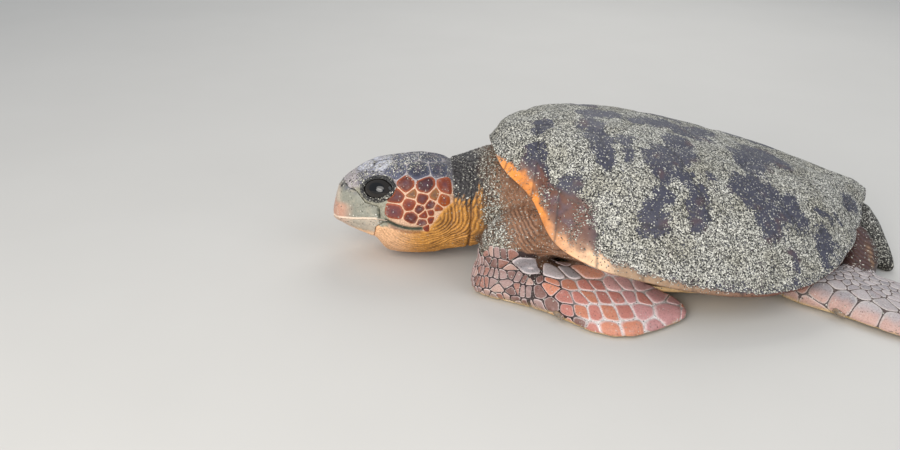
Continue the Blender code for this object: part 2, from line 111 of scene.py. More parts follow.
# Colours of the animal, by name; some carry painted light or shade, as noted beside them.
TINT = dict(
    # The two pale slates of the crown's front plates are lightened with a painted sheen of light.
    slate=(92, 94, 112), slate_dark=(58, 60, 76), slate_front_sheen=(198, 199, 208),
    slate_pale_sheen=(206, 207, 216), elbow_brown=(150, 104, 90), hind_glow=(206, 148, 124),
    maroon=(100, 48, 38), maroon_deep=(70, 36, 38), plum=(118, 66, 62), red_brown=(128, 58, 36),
    orange_horn=(150, 72, 22), ochre_horn=(132, 92, 56), rim_horn=(180, 92, 50),
    rim_blade=(222, 206, 204), rim_grey=(206, 198, 192), seam_cheek=(226, 186, 156),
    cheek_front=(164, 162, 144), seam_crown=(180, 172, 174), chin=(252, 200, 154),
    # The groove colours of the throat, armpit and mouth line are painted shade for the skin's creases.
    throat=(230, 164, 78), throat_groove_shade=(92, 54, 24), nape=(74, 70, 72), jaw_groove_shade=(56, 62, 48),
    shoulder=(104, 84, 66), armpit=(160, 118, 90), armpit_groove_shade=(74, 48, 36), elbow=(154, 126, 120),
    # The near-black of the elbow's gaps is painted shade, used for narrow gaps between plates and for pits.
    elbow_pale=(180, 148, 136), elbow_gap=(52, 36, 34), blade_seam=(222, 214, 212),
    under=(226, 196, 140), tail=(46, 42, 38), groin=(78, 56, 58), hind_seam=(92, 78, 76),
    grey_scale=(150, 144, 146), pale_scale=(174, 166, 166), pink_scale=(190, 138, 136),
    # The lighter copies of the orange and pink plate tints paint in light on the front flipper's plates that
    # lie in the shell's shadow.
    red_scale=(180, 116, 104), orange_scale=(192, 126, 100), painted_lit_orange=(222, 156, 128),
    painted_lit_pink=(216, 166, 162), dusky_scale=(122, 88, 80), rim_orange=(240, 148, 62),
    rim_pale=(240, 204, 168), rim_tan=(158, 128, 100), shell_dark=(62, 62, 76),
    shell_brown=(104, 64, 48), shell_plum=(96, 72, 76), belly=(226, 196, 138),
    belly_seam=(170, 128, 78), horn_green=(148, 147, 134), horn_pink=(206, 150, 126),
    horn_cream=(236, 212, 190), horn_dusk=(104, 100, 92),
)
TINT = {name: srgb(*levels) for name, levels in TINT.items()}


def through(stations, at):
    """Points at the parameters `at` on smooth curves through the stations (parameter first)."""
    rows = np.array(stations, float)
    knots, values = rows[:, 0], rows[:, 1:]
    slopes = np.gradient(values, knots, axis=0)
    at = np.atleast_1d(np.asarray(at, float))
    i = np.clip(np.searchsorted(knots, at) - 1, 0, len(knots) - 2)
    span = (knots[i + 1] - knots[i])[:, None]
    u = ((at - knots[i])[:, None]) / span
    return (
        values[i] * (1 + 2 * u) * (1 - u) ** 2
        + slopes[i] * span * u * (1 - u) ** 2
        + values[i + 1] * u * u * (3 - 2 * u)
        + slopes[i + 1] * span * u * u * (u - 1)
    )


def along(stations, count):
    numbered = [(i, *row) for i, row in enumerate(stations)]
    return through(numbered, np.linspace(0, len(stations) - 1, count))


def smooth(low, high, value):
    """0 before `low`, 1 past `high` and a soft step between. It falls where high is the lower."""
    share = np.clip((np.asarray(value, float) - low) / (high - low), 0, 1)
    return share * share * (3 - 2 * share)


def drift(points, size, seed=0):
    """Soft random values from -1 to 1 in space, the same on every run."""
    cell = np.asarray(points, float) / size + 31.7 + 5.3 * seed
    base = np.floor(cell).astype(np.int64)
    part = cell - base
    part = part * part * (3 - 2 * part)
    total = np.zeros(len(cell))
    for corner in itertools.product((0, 1), repeat=3):
        at = base + corner
        key = at[:, 0] * 73856093 ^ at[:, 1] * 19349663 ^ at[:, 2] * 83492791 ^ (seed + 7) * 2654435761
        key = (key ^ (key >> 13)) * 1274126177 & 0xFFFFFFFF
        key = (key ^ (key >> 16)) * 668265263 & 0xFFFFFFFF
        weight = np.prod(np.where(corner, part, 1 - part), axis=1)
        total += weight * ((key >> 8 & 0xFFFF) / 32767.5 - 1)
    return total


def blend(share, first, second):
    share = np.asarray(share, float)[..., None]
    return first * (1 - share) + second * share


def bell(value, width):
    """1 where the value is 0, and falling away to both sides."""
    return np.exp(-(value / width) ** 2)


# ---- Meshes -------------------------------------------------------------------------------


def placed(name, data):
    """A new object in the scene that shows `data`."""
    made = bpy.data.objects.new(name, data)
    bpy.context.scene.collection.objects.link(made)
    return made


def weld(mesh, merge=0.0, speck=0.0):
    """Joins places nearer than `merge`, drops edges under `speck` and turns the faces outward."""
    shape = bmesh.new()
    shape.from_mesh(mesh)
    if merge:
        bmesh.ops.remove_doubles(shape, verts=shape.verts, dist=merge)
        bmesh.ops.dissolve_degenerate(shape, edges=shape.edges, dist=speck)
    bmesh.ops.recalc_face_normals(shape, faces=shape.faces)
    shape.to_mesh(mesh)
    shape.free()
    mesh.shade_smooth()


def new_piece(name, verts, faces, merge=0.0, speck=0.0):
    """A closed, smooth-shaded piece at the origin."""
    mesh = bpy.data.meshes.new(name)
    mesh.from_pydata([tuple(map(float, v)) for v in verts], [], [tuple(map(int, f)) for f in faces])
    weld(mesh, merge, speck)
    return placed(name, mesh)


def pulled(items, name, width, kind=float):
    """One property of all the items of a mesh, in rows of `width` numbers."""
    flat = np.empty(len(items) * width, kind)
    items.foreach_get(name, flat)
    return flat.reshape(-1, width)


def coordinates(mesh):
    return pulled(mesh.vertices, "co", 3)


def vertex_normals(mesh):
    return pulled(mesh.vertices, "normal", 3)


def move_to(mesh, points):
    mesh.vertices.foreach_set("co", np.ascontiguousarray(points, dtype=np.float32).ravel())
    mesh.update()


def edge_ends(mesh):
    return pulled(mesh.edges, "vertices", 2, np.int32)


def neighbour_mean(points, ends):
    """For each point the mean of the points that an edge joins to it."""
    total = np.zeros_like(points)
    for axis in range(3):
        total[:, axis] += np.bincount(ends[:, 0], points[ends[:, 1], axis], len(points))
        total[:, axis] += np.bincount(ends[:, 1], points[ends[:, 0], axis], len(points))
    return total / np.maximum(np.bincount(ends.ravel(), minlength=len(points)), 1)[:, None]


def relaxed(points, ends, steps, where=1.0):
    """Smoothing that alternates a pull inwards with a push outwards, so that size is kept."""
    for _ in range(steps):
        for share in (0.5, -0.52):
            points = points + (neighbour_mean(points, ends) - points) * share * where
    return points


def set_colour(mesh, name, values):
    layer = mesh.attributes.new(name, "FLOAT_COLOR", "POINT")
    full = np.ones((len(values), 4), np.float32)
    full[:, :3] = values
    layer.data.foreach_set("color", full.ravel())


def set_value(mesh, name, values):
    layer = mesh.attributes.new(name, "FLOAT", "POINT")
    layer.data.foreach_set("value", np.asarray(values, np.float32))


def plain_copy(obj):
    """The evaluated mesh of an object, as a new object of the same name without modifiers."""
    graph = bpy.context.evaluated_depsgraph_get()
    mesh = bpy.data.meshes.new_from_object(obj.evaluated_get(graph))
    name = obj.name
    bpy.data.objects.remove(obj, do_unlink=True)
    return placed(name, mesh)


def modified(obj, kind, **settings):
    """The plain copy of an object after one modifier."""
    step = obj.modifiers.new(kind, kind)
    for name, value in settings.items():
        setattr(step, name, value)
    return plain_copy(obj)


def joined_copy(name, nodes, spread):
    """One object of merged copies of CAD nodes, each standing out by `spread`."""
    whole = bmesh.new()
    for node in nodes:
        part = bmesh.new()
        part.from_mesh(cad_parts[node].data)
        bmesh.ops.remove_doubles(part, verts=part.verts, dist=1e-5)
        part.normal_update()
        for vert in part.verts:
            vert.co += vert.normal * spread
        step = bpy.data.meshes.new("step")
        part.to_mesh(step)
        part.free()
        whole.from_mesh(step)
        bpy.data.meshes.remove(step)
    mesh = bpy.data.meshes.new(name)
    whole.to_mesh(mesh)
    whole.free()
    return placed(name, mesh)


def smoothed_body(name, nodes, spread, voxel, steps):
    """The nodes as one closed mesh without seams, and its relaxed points."""
    body = modified(joined_copy(name, nodes, spread), "REMESH", voxel_size=voxel, use_smooth_shade=True)
    return body, relaxed(coordinates(body.data), edge_ends(body.data), steps)


# ---- Skin ---------------------------------------------------------------------------------

SKIN_FACES = 194000
SKIN_VOXEL = 0.0034
SKIN_SPREAD = 0.0005    # closes the gaps between the solids
COAT_DEPTH = 0.0009     # the skin lies this deep under the scales
HEAD_AXIS = 0.105       # height of the line that the head's chart turns about
HEAD_REACH = 0.09       # metres on the chart for one radian
CHEEK = (-0.547, 0.122)     # centre of the rings of folds on the head's chart
FINE_UNTIL = -0.385     # the skin is finer ahead of this X
OFF_FLOOR = 0.0006      # the skin's lowest height
FOLD_LEVEL = 0.6        # part of a fold that stands at the smooth skin's height
FAR_OFF = 9.0           # a distance larger than any on the animal
LOW_LID = 0.95          # height of the lower lid's curve as a share of the upper's
# Half length and half height of the opening between the lids, then of the lids' outer border.
LID_INNER = (0.0290, 0.0192)
LID_OUTER = (0.0365, 0.0270)
LID_TILT = 12           # degrees that the front corner of the eye sits lower
CHIN_EDGE = [(-0.56, 0.158), (-0.525, 0.157), (-0.512, 0.138), (-0.500, 0.121), (-0.485, 0.106),
             (-0.476, 0.100)]
ELBOW_TOP = [(-0.437, 0.060), (-0.424, 0.088), (-0.410, 0.104), (-0.360, 0.105), (-0.335, 0.097),
             (-0.310, 0.080), (-0.290, 0.064)]
JAW_GROOVE = [(-0.606, 0.1035), (-0.597, 0.100), (-0.587, 0.0955), (-0.571, 0.0915),
              (-0.555, 0.0900), (-0.538, 0.0915)]


def near_line(x, z, line):
    """Distance from a bent line in the side view."""
    best = np.full(len(x), 1.0)
    for (x1, z1), (x2, z2) in zip(line, line[1:]):
        span = (x2 - x1) ** 2 + (z2 - z1) ** 2
        share = np.clip(((x - x1) * (x2 - x1) + (z - z1) * (z2 - z1)) / span, 0, 1)
        best = np.minimum(best, np.hypot(x - x1 - share * (x2 - x1), z - z1 - share * (z2 - z1)))
    return best


def head_chart(points):
    """X and the way round from the crown, in metres, for places on the head and neck."""
    turn = np.arctan2(np.abs(points[:, 1]), points[:, 2] - HEAD_AXIS)
    return points[:, 0], turn * HEAD_REACH


def folded_over(points, side):
    """The points with those of the other side mirrored onto `side`."""
    return np.column_stack([points[:, 0], side * np.abs(points[:, 1]), points[:, 2]])


def from_margin(points):
    """Distance from the carapace's edge."""
    mirrored = folded_over(points, 1)
    best = np.full(len(points), FAR_OFF)
    for spot in margin(6):
        best = np.minimum(best, np.linalg.norm(mirrored - spot, axis=1))
    return best


def on_flipper(points, stations):
    """Share along a flipper, share across it and whether a place belongs to it."""
    mirrored = folded_over(points, -1)
    best = np.full(len(points), FAR_OFF)
    share = np.zeros(len(points))
    across = np.zeros(len(points))
    for i, (x, y, z, chord, thick, turn, tilt) in enumerate(along(stations, 61)):
        turn, tilt = math.radians(turn), math.radians(tilt)
        back = np.array([math.cos(turn) * math.cos(tilt), math.sin(turn) * math.cos(tilt), math.sin(tilt)])
        offset = mirrored - (x, y, z)
        t = offset @ back
        clipped = np.clip(t, -chord, chord)
        far = np.linalg.norm(offset - clipped[:, None] * back, axis=1) / (thick + 0.004)
        nearer = far < best
        best[nearer] = far[nearer]
        share[nearer] = i / 60
        across[nearer] = (t / chord)[nearer]
    past_joint = smooth(0.06, 0.12, share) if stations is HIND_FLIPPER else 1.0
    return share, across, smooth(1.7, 1.25, best) * past_joint


def low_on_hind(z):
    """1 as high as the hind flipper's plates reach."""
    return smooth(0.064, 0.056, z)


def on_flippers(points):
    """1 where the skin lies under a flipper's plates."""
    own = np.maximum(*[on_flipper(points, stations)[2] for stations in (FRONT_FLIPPER, HIND_FLIPPER)])
    return np.where(points[:, 0] > 0, own * low_on_hind(points[:, 2]), own)


def ridges(phase, sharpness=0.7):
    """Rounded folds with narrow grooves, from 0 in a groove to 1 on a ridge."""
    return np.abs(np.sin(math.pi * phase)) ** sharpness


def skin_folds(points):
    """Height of the folds, a mask of their grooves, where shade is painted, and one of the mouth's groove.
    """
    def noise(size, seed):
        return drift(points, size, seed)

    x, w = head_chart(points)
    z = points[:, 2]
    warp = noise(0.035, 1) * 0.005 + noise(0.011, 2) * 0.0009
    # Rings of folds round the cheek.
    dx, dw = x - CHEEK[0], w - CHEEK[1]
    ring = np.hypot(dx, dw * 0.92) + warp
    behind = smooth(-0.55, -0.49, x)
    spacing = 0.0056 + 0.0030 * smooth(1.2, 0.2, np.arctan2(dw, dx))
    phase = ring / spacing + 0.26 * noise(0.016, 7) + 0.8 * noise(0.05, 8)
    finer = 0.70 + 0.30 * ridges(phase * 0.5 + 0.4 * noise(0.03, 9), 1.0)
    fold = ridges(phase, 0.6 + 0.5 * behind) * finer + 0.16 * noise(0.005, 10)
    throat = smooth(0.030, 0.052, ring) * smooth(-0.635, -0.600, x) * smooth(-0.375, -0.44, x)
    throat *= np.maximum(smooth(0.002, 0.012, past_chin_edge(x, w)), smooth(-0.479, -0.472, x))
    height = (0.0008 + 0.0026 * behind) * throat * (fold - FOLD_LEVEL) * (0.8 + 0.5 * noise(0.02, 3))
    groove = throat * np.clip(1 - fold, 0, 1) * (0.60 + 0.65 * behind) * (0.80 + 0.5 * noise(0.014, 12))
    cleft = bell(x + 0.441 + 0.5 * warp, 0.0026) * smooth(0.080, 0.100, w)
    height -= 0.0030 * cleft
    groove = np.maximum(groove, cleft * 1.1)
    # Nape, armpit and groin.
    nape = smooth(-0.476, -0.470, x) * smooth(-0.39, -0.42, x)
    nape = nape * smooth(0.01, 0.04, w) * smooth(0.13, 0.10, w)
    lines = ridges((x + 0.25 * w + 1.6 * warp) / 0.0085 + 0.5 * noise(0.03, 21), 0.8)
    far = from_margin(points)
    beside = smooth(0.115, 0.075, far) * smooth(-0.40, -0.36, x) * smooth(-0.12, -0.2, x)
    beside *= smooth(0.068, 0.098, z)
    strands = ridges((far + warp * 0.8) / 0.0066 + 0.3 * noise(0.03, 14), 0.9)
    rear = smooth(0.10, 0.15, x) * smooth(0.37, 0.35, x) * smooth(0.035, 0.05, z)
    pleats = ridges((x * 0.5 + z * 0.85 + 0.8 * warp) / 0.0062 + 0.4 * noise(0.02, 23), 0.8)
    for zone, ridge, lift, dark, uneven in (
        (nape, lines, 0.0016, 1.9, 0.8 + 0.5 * noise(0.02, 22)),
        (beside, strands, 0.0028, 1.0, 0.7 + 0.5 * noise(0.02, 15)),
        (rear, pleats, 0.0020, 1.5, 1.0),
    ):
        height += lift * zone * (ridge - FOLD_LEVEL)
        groove = np.maximum(groove, dark * zone * (1 - ridge) * uneven)
    jaw = bell(near_line(x, z, JAW_GROOVE), 0.0044) * smooth(0.045, 0.06, np.abs(points[:, 1]))
    return height - 0.0024 * jaw, groove, jaw


def on_line(x, line):
    """Height of a bent line, given as places (x, height), over x."""
    return np.interp(x, *np.array(line).T)


def past_jaw(x, z):
    """How far a place on the head lies below the line of the jaw."""
    return on_line(x, JAW_GROOVE) - z


def past_chin_edge(x, w):
    """How far a place on the head's chart lies below the border of cheek and throat."""
    return w - on_line(x, CHIN_EDGE)


def on_elbow(points):
    """1 where the small scales of the flipper climb the front of the arm."""
    x, y, z = points[:, 0], np.abs(points[:, 1]), points[:, 2]
    top = on_line(x, ELBOW_TOP) + 0.004 * drift(points, 0.012, 13)
    return smooth(0.003, -0.003, z - top) * smooth(-0.290, -0.305, x) * smooth(0.155, 0.165, y)


def eye_shape(angle, radii, pointed):
    """A place on the almond of the eye, tilted with its front corner lower."""
    c, s = math.cos(angle), math.sin(angle)
    u = radii[0] * c
    v = radii[1] * math.copysign(abs(s) ** (1 + pointed * (1 + c) / 2), s) * (1.0 if s > 0 else LOW_LID)
    tilt = math.radians(LID_TILT)
    return u * math.cos(tilt) - v * math.sin(tilt), u * math.sin(tilt) + v * math.cos(tilt)


def ball_height(u, v):
    inside = 1 - (u / EYE_RADII[0]) ** 2 - (v / EYE_RADII[2]) ** 2
    return EYE_RADII[1] * np.sqrt(np.maximum(inside, 0))


def round_eye(points, side):
    """Places in the eye's own frame, and how far out they are: 1 on the middle of the lids."""
    turn = np.array(eye_place(side).inverted())
    local = points @ turn[:3, :3].T + turn[:3, 3]
    tilt = math.radians(LID_TILT)
    u = local[:, 0] * math.cos(tilt) + local[:, 2] * math.sin(tilt)
    v = local[:, 2] * math.cos(tilt) - local[:, 0] * math.sin(tilt)
    across, high = [(LID_INNER[k] + LID_OUTER[k]) / 2 for k in (0, 1)]
    far = np.hypot(u / across, v / high)
    return local, np.where(local[:, 1] * side > -0.012, far, FAR_OFF)


def open_eyes(points):
    """Lowers the skin under the eyeballs and the lids."""
    for side in (-1, 1):
        local, far = round_eye(points, side)
        out = local[:, 1] * side
        low = np.minimum(out, ball_height(local[:, 0], local[:, 2]) - 0.0016)
        share = smooth(1.10, 0.92, far)
        local[:, 1] = side * (out * (1 - share) + low * share)
        back = np.array(eye_place(side))
        points = np.where((far < 1.2)[:, None], local @ back[:3, :3].T + back[:3, 3], points)
    return points


def brow_line(x):
    return np.interp(x, [-0.664, -0.645, -0.627, -0.609, -0.592], [0.014, 0.025, 0.035, 0.047, 0.060])


def head_forms(points):
    """Brow, cheek and the crease behind the head: how far the head's skin moves outwards."""
    x, w = head_chart(points)
    brow = bell(w - brow_line(x), 0.008) * smooth(-0.672, -0.655, x) * smooth(-0.580, -0.592, x)
    cheek = np.exp(-((x + 0.555) / 0.045) ** 2 - ((w - 0.112) / 0.05) ** 2)
    crease = bell(x + 0.4755, 0.005) * smooth(0.155, 0.12, w)
    return 0.0018 * brow + 0.0018 * cheek - 0.0030 * crease


def skin_colours(points, normals, groove, jaw):
    """The skin's colour and how much sand lies on it."""
    def paint(share, tint):
        nonlocal colour
        colour = blend(share, colour, TINT[tint] if isinstance(tint, str) else tint)

    x, w = head_chart(points)
    y, z = np.abs(points[:, 1]), points[:, 2]
    soft = drift(points, 0.03, 5)
    fine = drift(points, 0.007, 6)
    # Trunk and shoulders first, then each region over it.
    colour = np.tile(TINT["shoulder"], (len(points), 1))
    sand = np.full(len(points), 0.75)
    far = from_margin(points)
    pit = smooth(0.085, 0.05, far + 0.01 * soft) * smooth(-0.42, -0.36, x) * smooth(-0.13, -0.19, x)
    paint(pit, "armpit")
    rear = smooth(0.12, 0.18, x)
    paint(rear, "groin")
    tail = smooth(0.332, 0.342, x + 0.003 * fine) * smooth(0.22, 0.20, y)
    paint(tail, "tail")
    paint(bell(x - 0.326 + 0.003 * fine, 0.0055) * smooth(0.100, 0.088, z) * 0.85, "rim_tan")
    sand = sand - 0.66 * pit - 0.66 * rear + 0.36 * tail
    # Neck: dark nape, yellow throat.
    neck = smooth(-0.405, -0.43, x + 0.01 * soft) * smooth(0.145, 0.125, y + 0.01 * soft)
    climb = 0.026 * bell(x + 0.424, 0.009) + 0.030 * (0.35 - np.clip(groove, 0, 1))
    low = smooth(0.085, 0.115, w + climb + 0.012 * soft + 0.010 * fine)
    paint(neck, blend(low, TINT["nape"], TINT["throat"]))
    sand = sand * (1 - neck) + neck * ((0.22 + 0.22 * smooth(-0.44, -0.41, x)) * (1 - low) + 0.03)
    # Head: the skin between the plates above, the throat below.
    head = smooth(-0.4745, -0.4780, x)
    chin = smooth(0.0, 0.004, past_chin_edge(x, w) + 0.002 * soft)
    front = smooth(-0.53, -0.60, x + 0.01 * fine)
    below = blend(front, TINT["throat"] * (0.9 + 0.12 * fine[:, None]), TINT["chin"])
    above = blend(smooth(0.062, 0.080, w), TINT["seam_crown"], TINT["seam_cheek"])
    muzzle = smooth(-0.597, -0.606, x) * smooth(0.054, 0.066, w)
    strip = smooth(-0.588, -0.600, x) * smooth(0.062, 0.054, w) * smooth(-0.668, -0.655, x)
    line = bell(w - brow_line(x), 0.0016) * smooth(-0.668, -0.660, x) * smooth(-0.588, -0.596, x)
    for share, tint in (
        (muzzle, TINT["cheek_front"] * (0.95 + 0.12 * fine[:, None])),
        (strip * 0.8, TINT["slate"]),
        # The brow line takes the pale front slate, with its painted sheen.
        (line * 0.8, TINT["slate_pale_sheen"]),
        (0.8 * smooth(-0.492, -0.486, x) * smooth(0.066, 0.054, w), TINT["slate_dark"]),
    ):
        above = blend(share, above, tint)
    paint(head, blend(chin, above, below))
    sand = sand * (1 - head) + head * (0.22 * smooth(0.085, 0.03, w) + 0.16 * strip)
    for side, _ in SIDES:
        # The skin under and round the lids is painted near-black as shade in the gap round the eyeball.
        lids = smooth(1.24, 1.10, round_eye(points, side)[1] + 0.08 * fine)
        paint(head * lids, TINT["slate_dark"] * 0.22)
        sand = sand + 0.15 * head * lids
    lip = smooth(0.0035, 0.0065, past_jaw(x, z)) * smooth(0.0130, 0.0085, past_jaw(x, z))
    lip *= smooth(-0.604, -0.590, x) * smooth(-0.528, -0.545, x) * smooth(0.045, 0.06, y)
    paint(0.6 * lip, "maroon")
    # The mouth's groove is painted dark as shade in the crease.
    paint(np.clip(jaw * 1.3, 0, 1), TINT["jaw_groove_shade"] * (1 + 0.5 * fine[:, None]))
    # The grooves between the folds are painted dark as shade: a darkened nape and the dark throat and armpit
    # groove colours.
    dark = blend(neck, TINT["armpit_groove_shade"], blend(low, TINT["nape"] * 0.25, TINT["throat_groove_shade"]))
    paint(np.clip(groove * 1.15, 0, 1) * 0.88, dark)
    sand *= 1 - 0.75 * np.clip(groove, 0, 1)
    # The skin under the elbow's plates, seen in the gaps between them, is painted near-black as shade.
    elbow = on_elbow(points)
    paint(elbow, "elbow_gap")
    sand *= 1 - 0.8 * elbow
    # Seams between the flippers' plates, and their pale undersides.
    for stations, seam in ((FRONT_FLIPPER, "blade_seam"), (HIND_FLIPPER, "hind_seam")):
        share, across, own = on_flipper(points, stations)
        shade = np.tile(TINT[seam], (len(points), 1))
        if stations is HIND_FLIPPER:
            own = own * low_on_hind(z)
        else:
            # Near the arm the seams between the plates are painted near-black as shade, and the crease
            # behind the plates gets painted shade as darkened armpit skin.
            shade = blend(smooth(0.46, 0.40, share + 0.1 * (across - 0.2)), shade, TINT["elbow_gap"])
            behind = smooth(0.56, 0.5, share) * smooth(0.0, 0.2, across)
            shade = blend(behind, shade, TINT["armpit"] * 0.4)
        paint(own, blend(beneath(normals[:, 2], z), shade, TINT["under"]))
        sand = sand * (1 - own) + own * 0.10
    return np.clip(colour, 0, 1), np.clip(sand, 0, 1)


def beneath(rise, z):
    """1 where the skin faces down near the floor; `rise` is the normal's Z."""
    return smooth(-0.35, -0.75, rise) * smooth(0.03, 0.02, z)


def wrinkled(place):
    """Where the skin carries fine folds: head and neck, armpits, groins."""
    x, y, z = place.x, abs(place.y), place.z
    if x < FINE_UNTIL:
        return y < 0.15 or z > 0.10
    if x < 0:
        return x < -0.28 and y > 0.13 and z > 0.06
    return 0.27 < x < 0.36 and 0.12 < y < 0.22 and z > 0.045


def filled_creases(mesh, points):
    """Rounds the hollows where the limbs leave the body, and nothing that stands out."""
    x, y, z = points[:, 0], np.abs(points[:, 1]), points[:, 2]
    front = smooth(-0.452, -0.44, x) * smooth(-0.20, -0.24, x) * smooth(0.13, 0.15, y)
    rear = smooth(0.24, 0.27, x) * smooth(0.38, 0.35, x) * smooth(0.10, 0.13, y)
    off_floor = smooth(0.02, 0.035, z)
    zone = np.clip(front * off_floor + rear * off_floor, 0, 1)
    ends = edge_ends(mesh)
    for _ in range(5):
        move_to(mesh, points)
        normals = vertex_normals(mesh)
        for _ in range(12):
            hollow = ((neighbour_mean(points, ends) - points) * normals).sum(axis=1)
            points = points + normals * (zone * np.maximum(hollow, 0))[:, None]
    return points


def thinned_out(body, points):
    """The body with larger faces under the shell and on the flippers, where little shows."""
    inside = smooth(-0.33, -0.27, points[:, 0]) * smooth(0.3, 0.26, points[:, 0])
    plated = [on_flipper(points, stations)[2] for stations in (FRONT_FLIPPER, HIND_FLIPPER)]
    hidden = np.clip(inside * shell_inset(points) + 0.75 * np.maximum(*plated), 0, 1)
    group = body.vertex_groups.new(name="coarse")
    for level in (0.25, 0.5, 0.75, 1.0):
        chosen = np.nonzero((hidden > level - 0.25) & (hidden <= level))[0]
        group.add([int(i) for i in chosen], level, "REPLACE")
    return modified(body, "DECIMATE", ratio=0.42, vertex_group="coarse")


def refine(mesh):
    """Divides the faces that carry fine folds."""
    shape = bmesh.new()
    shape.from_mesh(mesh)
    fine = [e for e in shape.edges if all(wrinkled(v.co) for v in e.verts)]
    bmesh.ops.subdivide_edges(shape, edges=fine, cuts=1, use_grid_fill=True)
    shape.to_mesh(mesh)
    shape.free()


def make_skin():
    """One skin over all the flesh, folded and coloured by region."""
    body, points = smoothed_body("skin", FLESH, SKIN_SPREAD, SKIN_VOXEL, 14)
    points = filled_creases(body.data, points)
    move_to(body.data, points)
    body = thinned_out(body, points)
    mesh = body.data
    refine(mesh)
    points = coordinates(mesh)
    head_part = (points[:, 0] < FINE_UNTIL + 0.004).astype(float)
    points = relaxed(points, edge_ends(mesh), 3, head_part[:, None])
    move_to(mesh, points)
    height, _, _ = skin_folds(points)
    own, elbow = on_flippers(points), on_elbow(points)
    height = height * (1 - own) * (1 - elbow)
    plated = np.maximum(np.maximum(own, elbow), smooth(-0.47, -0.48, points[:, 0]))
    height += smooth(-0.44, -0.48, points[:, 0]) * head_forms(points) - COAT_DEPTH * plated
    points = open_eyes(points + vertex_normals(mesh) * height[:, None])
    points[:, 2] = np.maximum(points[:, 2], OFF_FLOOR)
    move_to(mesh, points)
    mesh.calc_loop_triangles()
    body = modified(body, "DECIMATE", ratio=SKIN_FACES / len(mesh.loop_triangles))
    mesh = body.data
    points = coordinates(mesh)
    _, groove, jaw = skin_folds(points)
    bare = (1 - on_flippers(points)) * (1 - on_elbow(points))
    colour, sand = skin_colours(points, vertex_normals(mesh), groove * bare, jaw)
    set_colour(mesh, "tint", colour)
    set_value(mesh, "sand", sand)
    set_value(mesh, "wet", np.clip(jaw, 0, 1))
    mesh.shade_smooth()
    return body


def shell_inset(points):
    """1 well inside the shell's outline seen from above, 0 outside it."""
    edge = margin(3)
    reach = np.interp(points[:, 0], edge[:, 0], edge[:, 1], left=0, right=0)
    return smooth(-0.02, -0.05, np.abs(points[:, 1]) - reach)


# ---- Scales -------------------------------------------------------------------------------

RING_SHARES = (1.0, 0.985, 0.93, 0.70, 0.38)
RING_HEIGHTS = (-0.7, 0.25, 0.75, 0.98, 1.05)
TOP_HEIGHT = 1.08       # of a plate's middle, in its thickness
ROOT_HEIGHT = -1.1      # of its closed underside, in ROOT_DEPTH
ROOT_DEPTH = 0.0008
THICK = 0.0019          # plates over this thickness are the large ones of the elbow
CAST_FROM = 0.2         # rays start this far outside the skin


def clipped(polygon, normal, limit):
    """The part of a convex polygon where normal . point < limit."""
    kept = []
    sides = polygon @ normal - limit
    for i in range(len(polygon)):
        j = (i + 1) % len(polygon)
        if sides[i] < 0:
            kept.append(polygon[i])
        if (sides[i] < 0) != (sides[j] < 0):
            kept.append(polygon[i] + (polygon[j] - polygon[i]) * sides[i] / (sides[i] - sides[j]))
    return np.array(kept)


def cells(seeds, seam, reach=0.05):
    """For each seed (u, v, weight) its convex cell, drawn in by half a seam."""
    places = np.array([s[:2] for s in seeds])
    weights = np.array([s[2] for s in seeds])
    found = []
    for i, place in enumerate(places):
        polygon = place + np.array([(-reach, -reach), (reach, -reach), (reach, reach), (-reach, reach)])
        gaps = np.linalg.norm(places - place, axis=1)
        for j in np.argsort(gaps)[1:30]:
            if gaps[j] < 1e-6 or len(polygon) < 3:
                continue
            normal = (places[j] - place) / gaps[j]
            border = gaps[j] / 2 + (weights[i] - weights[j]) / (2 * gaps[j])
            polygon = clipped(polygon, normal, place @ normal + border - seam / 2)
        found.append(polygon if len(polygon) >= 3 else None)
    return found


def rounded_outline(polygon, count, corner=0.13):
    for cut in (corner, 0.25):
        after = np.roll(polygon, -1, axis=0)
        polygon = np.stack([polygon * (1 - cut) + after * cut, polygon * cut + after * (1 - cut)], 1)
        polygon = polygon.reshape(-1, 2)
    closed = np.vstack([polygon, polygon[:1]])
    steps = np.r_[0, np.cumsum(np.linalg.norm(np.diff(closed, axis=0), axis=1))]
    at = np.linspace(0, steps[-1], count, endpoint=False)
    return np.column_stack([np.interp(at, steps, closed[:, k]) for k in range(2)])


class Surface:
    """Nearest places and soft normals on a finished mesh."""

    def __init__(self, obj):
        mesh = obj.data
        mesh.calc_loop_triangles()
        self.corners = pulled(mesh.loop_triangles, "vertices", 3, np.int32)
        self.points = coordinates(mesh)
        self.normals = vertex_normals(mesh)
        self.tree = BVHTree.FromPolygons(self.points.tolist(), self.corners.tolist())

    def found(self, place, index):
        """A place as an array with the soft normal there, or None."""
        if place is None:
            return None
        place = np.array(place)
        own = self.corners[index]
        gaps = 1 / (np.linalg.norm(self.points[own] - place, axis=1) + 1e-5)
        normal = (self.normals[own] * gaps[:, None]).sum(axis=0)
        return place, normal / np.linalg.norm(normal)

    def nearest(self, point):
        place, _, index, _ = self.tree.find_nearest(Vector(point))
        return self.found(place, index)

    def cast(self, start, heading):
        place, _, index, _ = self.tree.ray_cast(Vector(start), Vector(heading))
        return self.found(place, index)


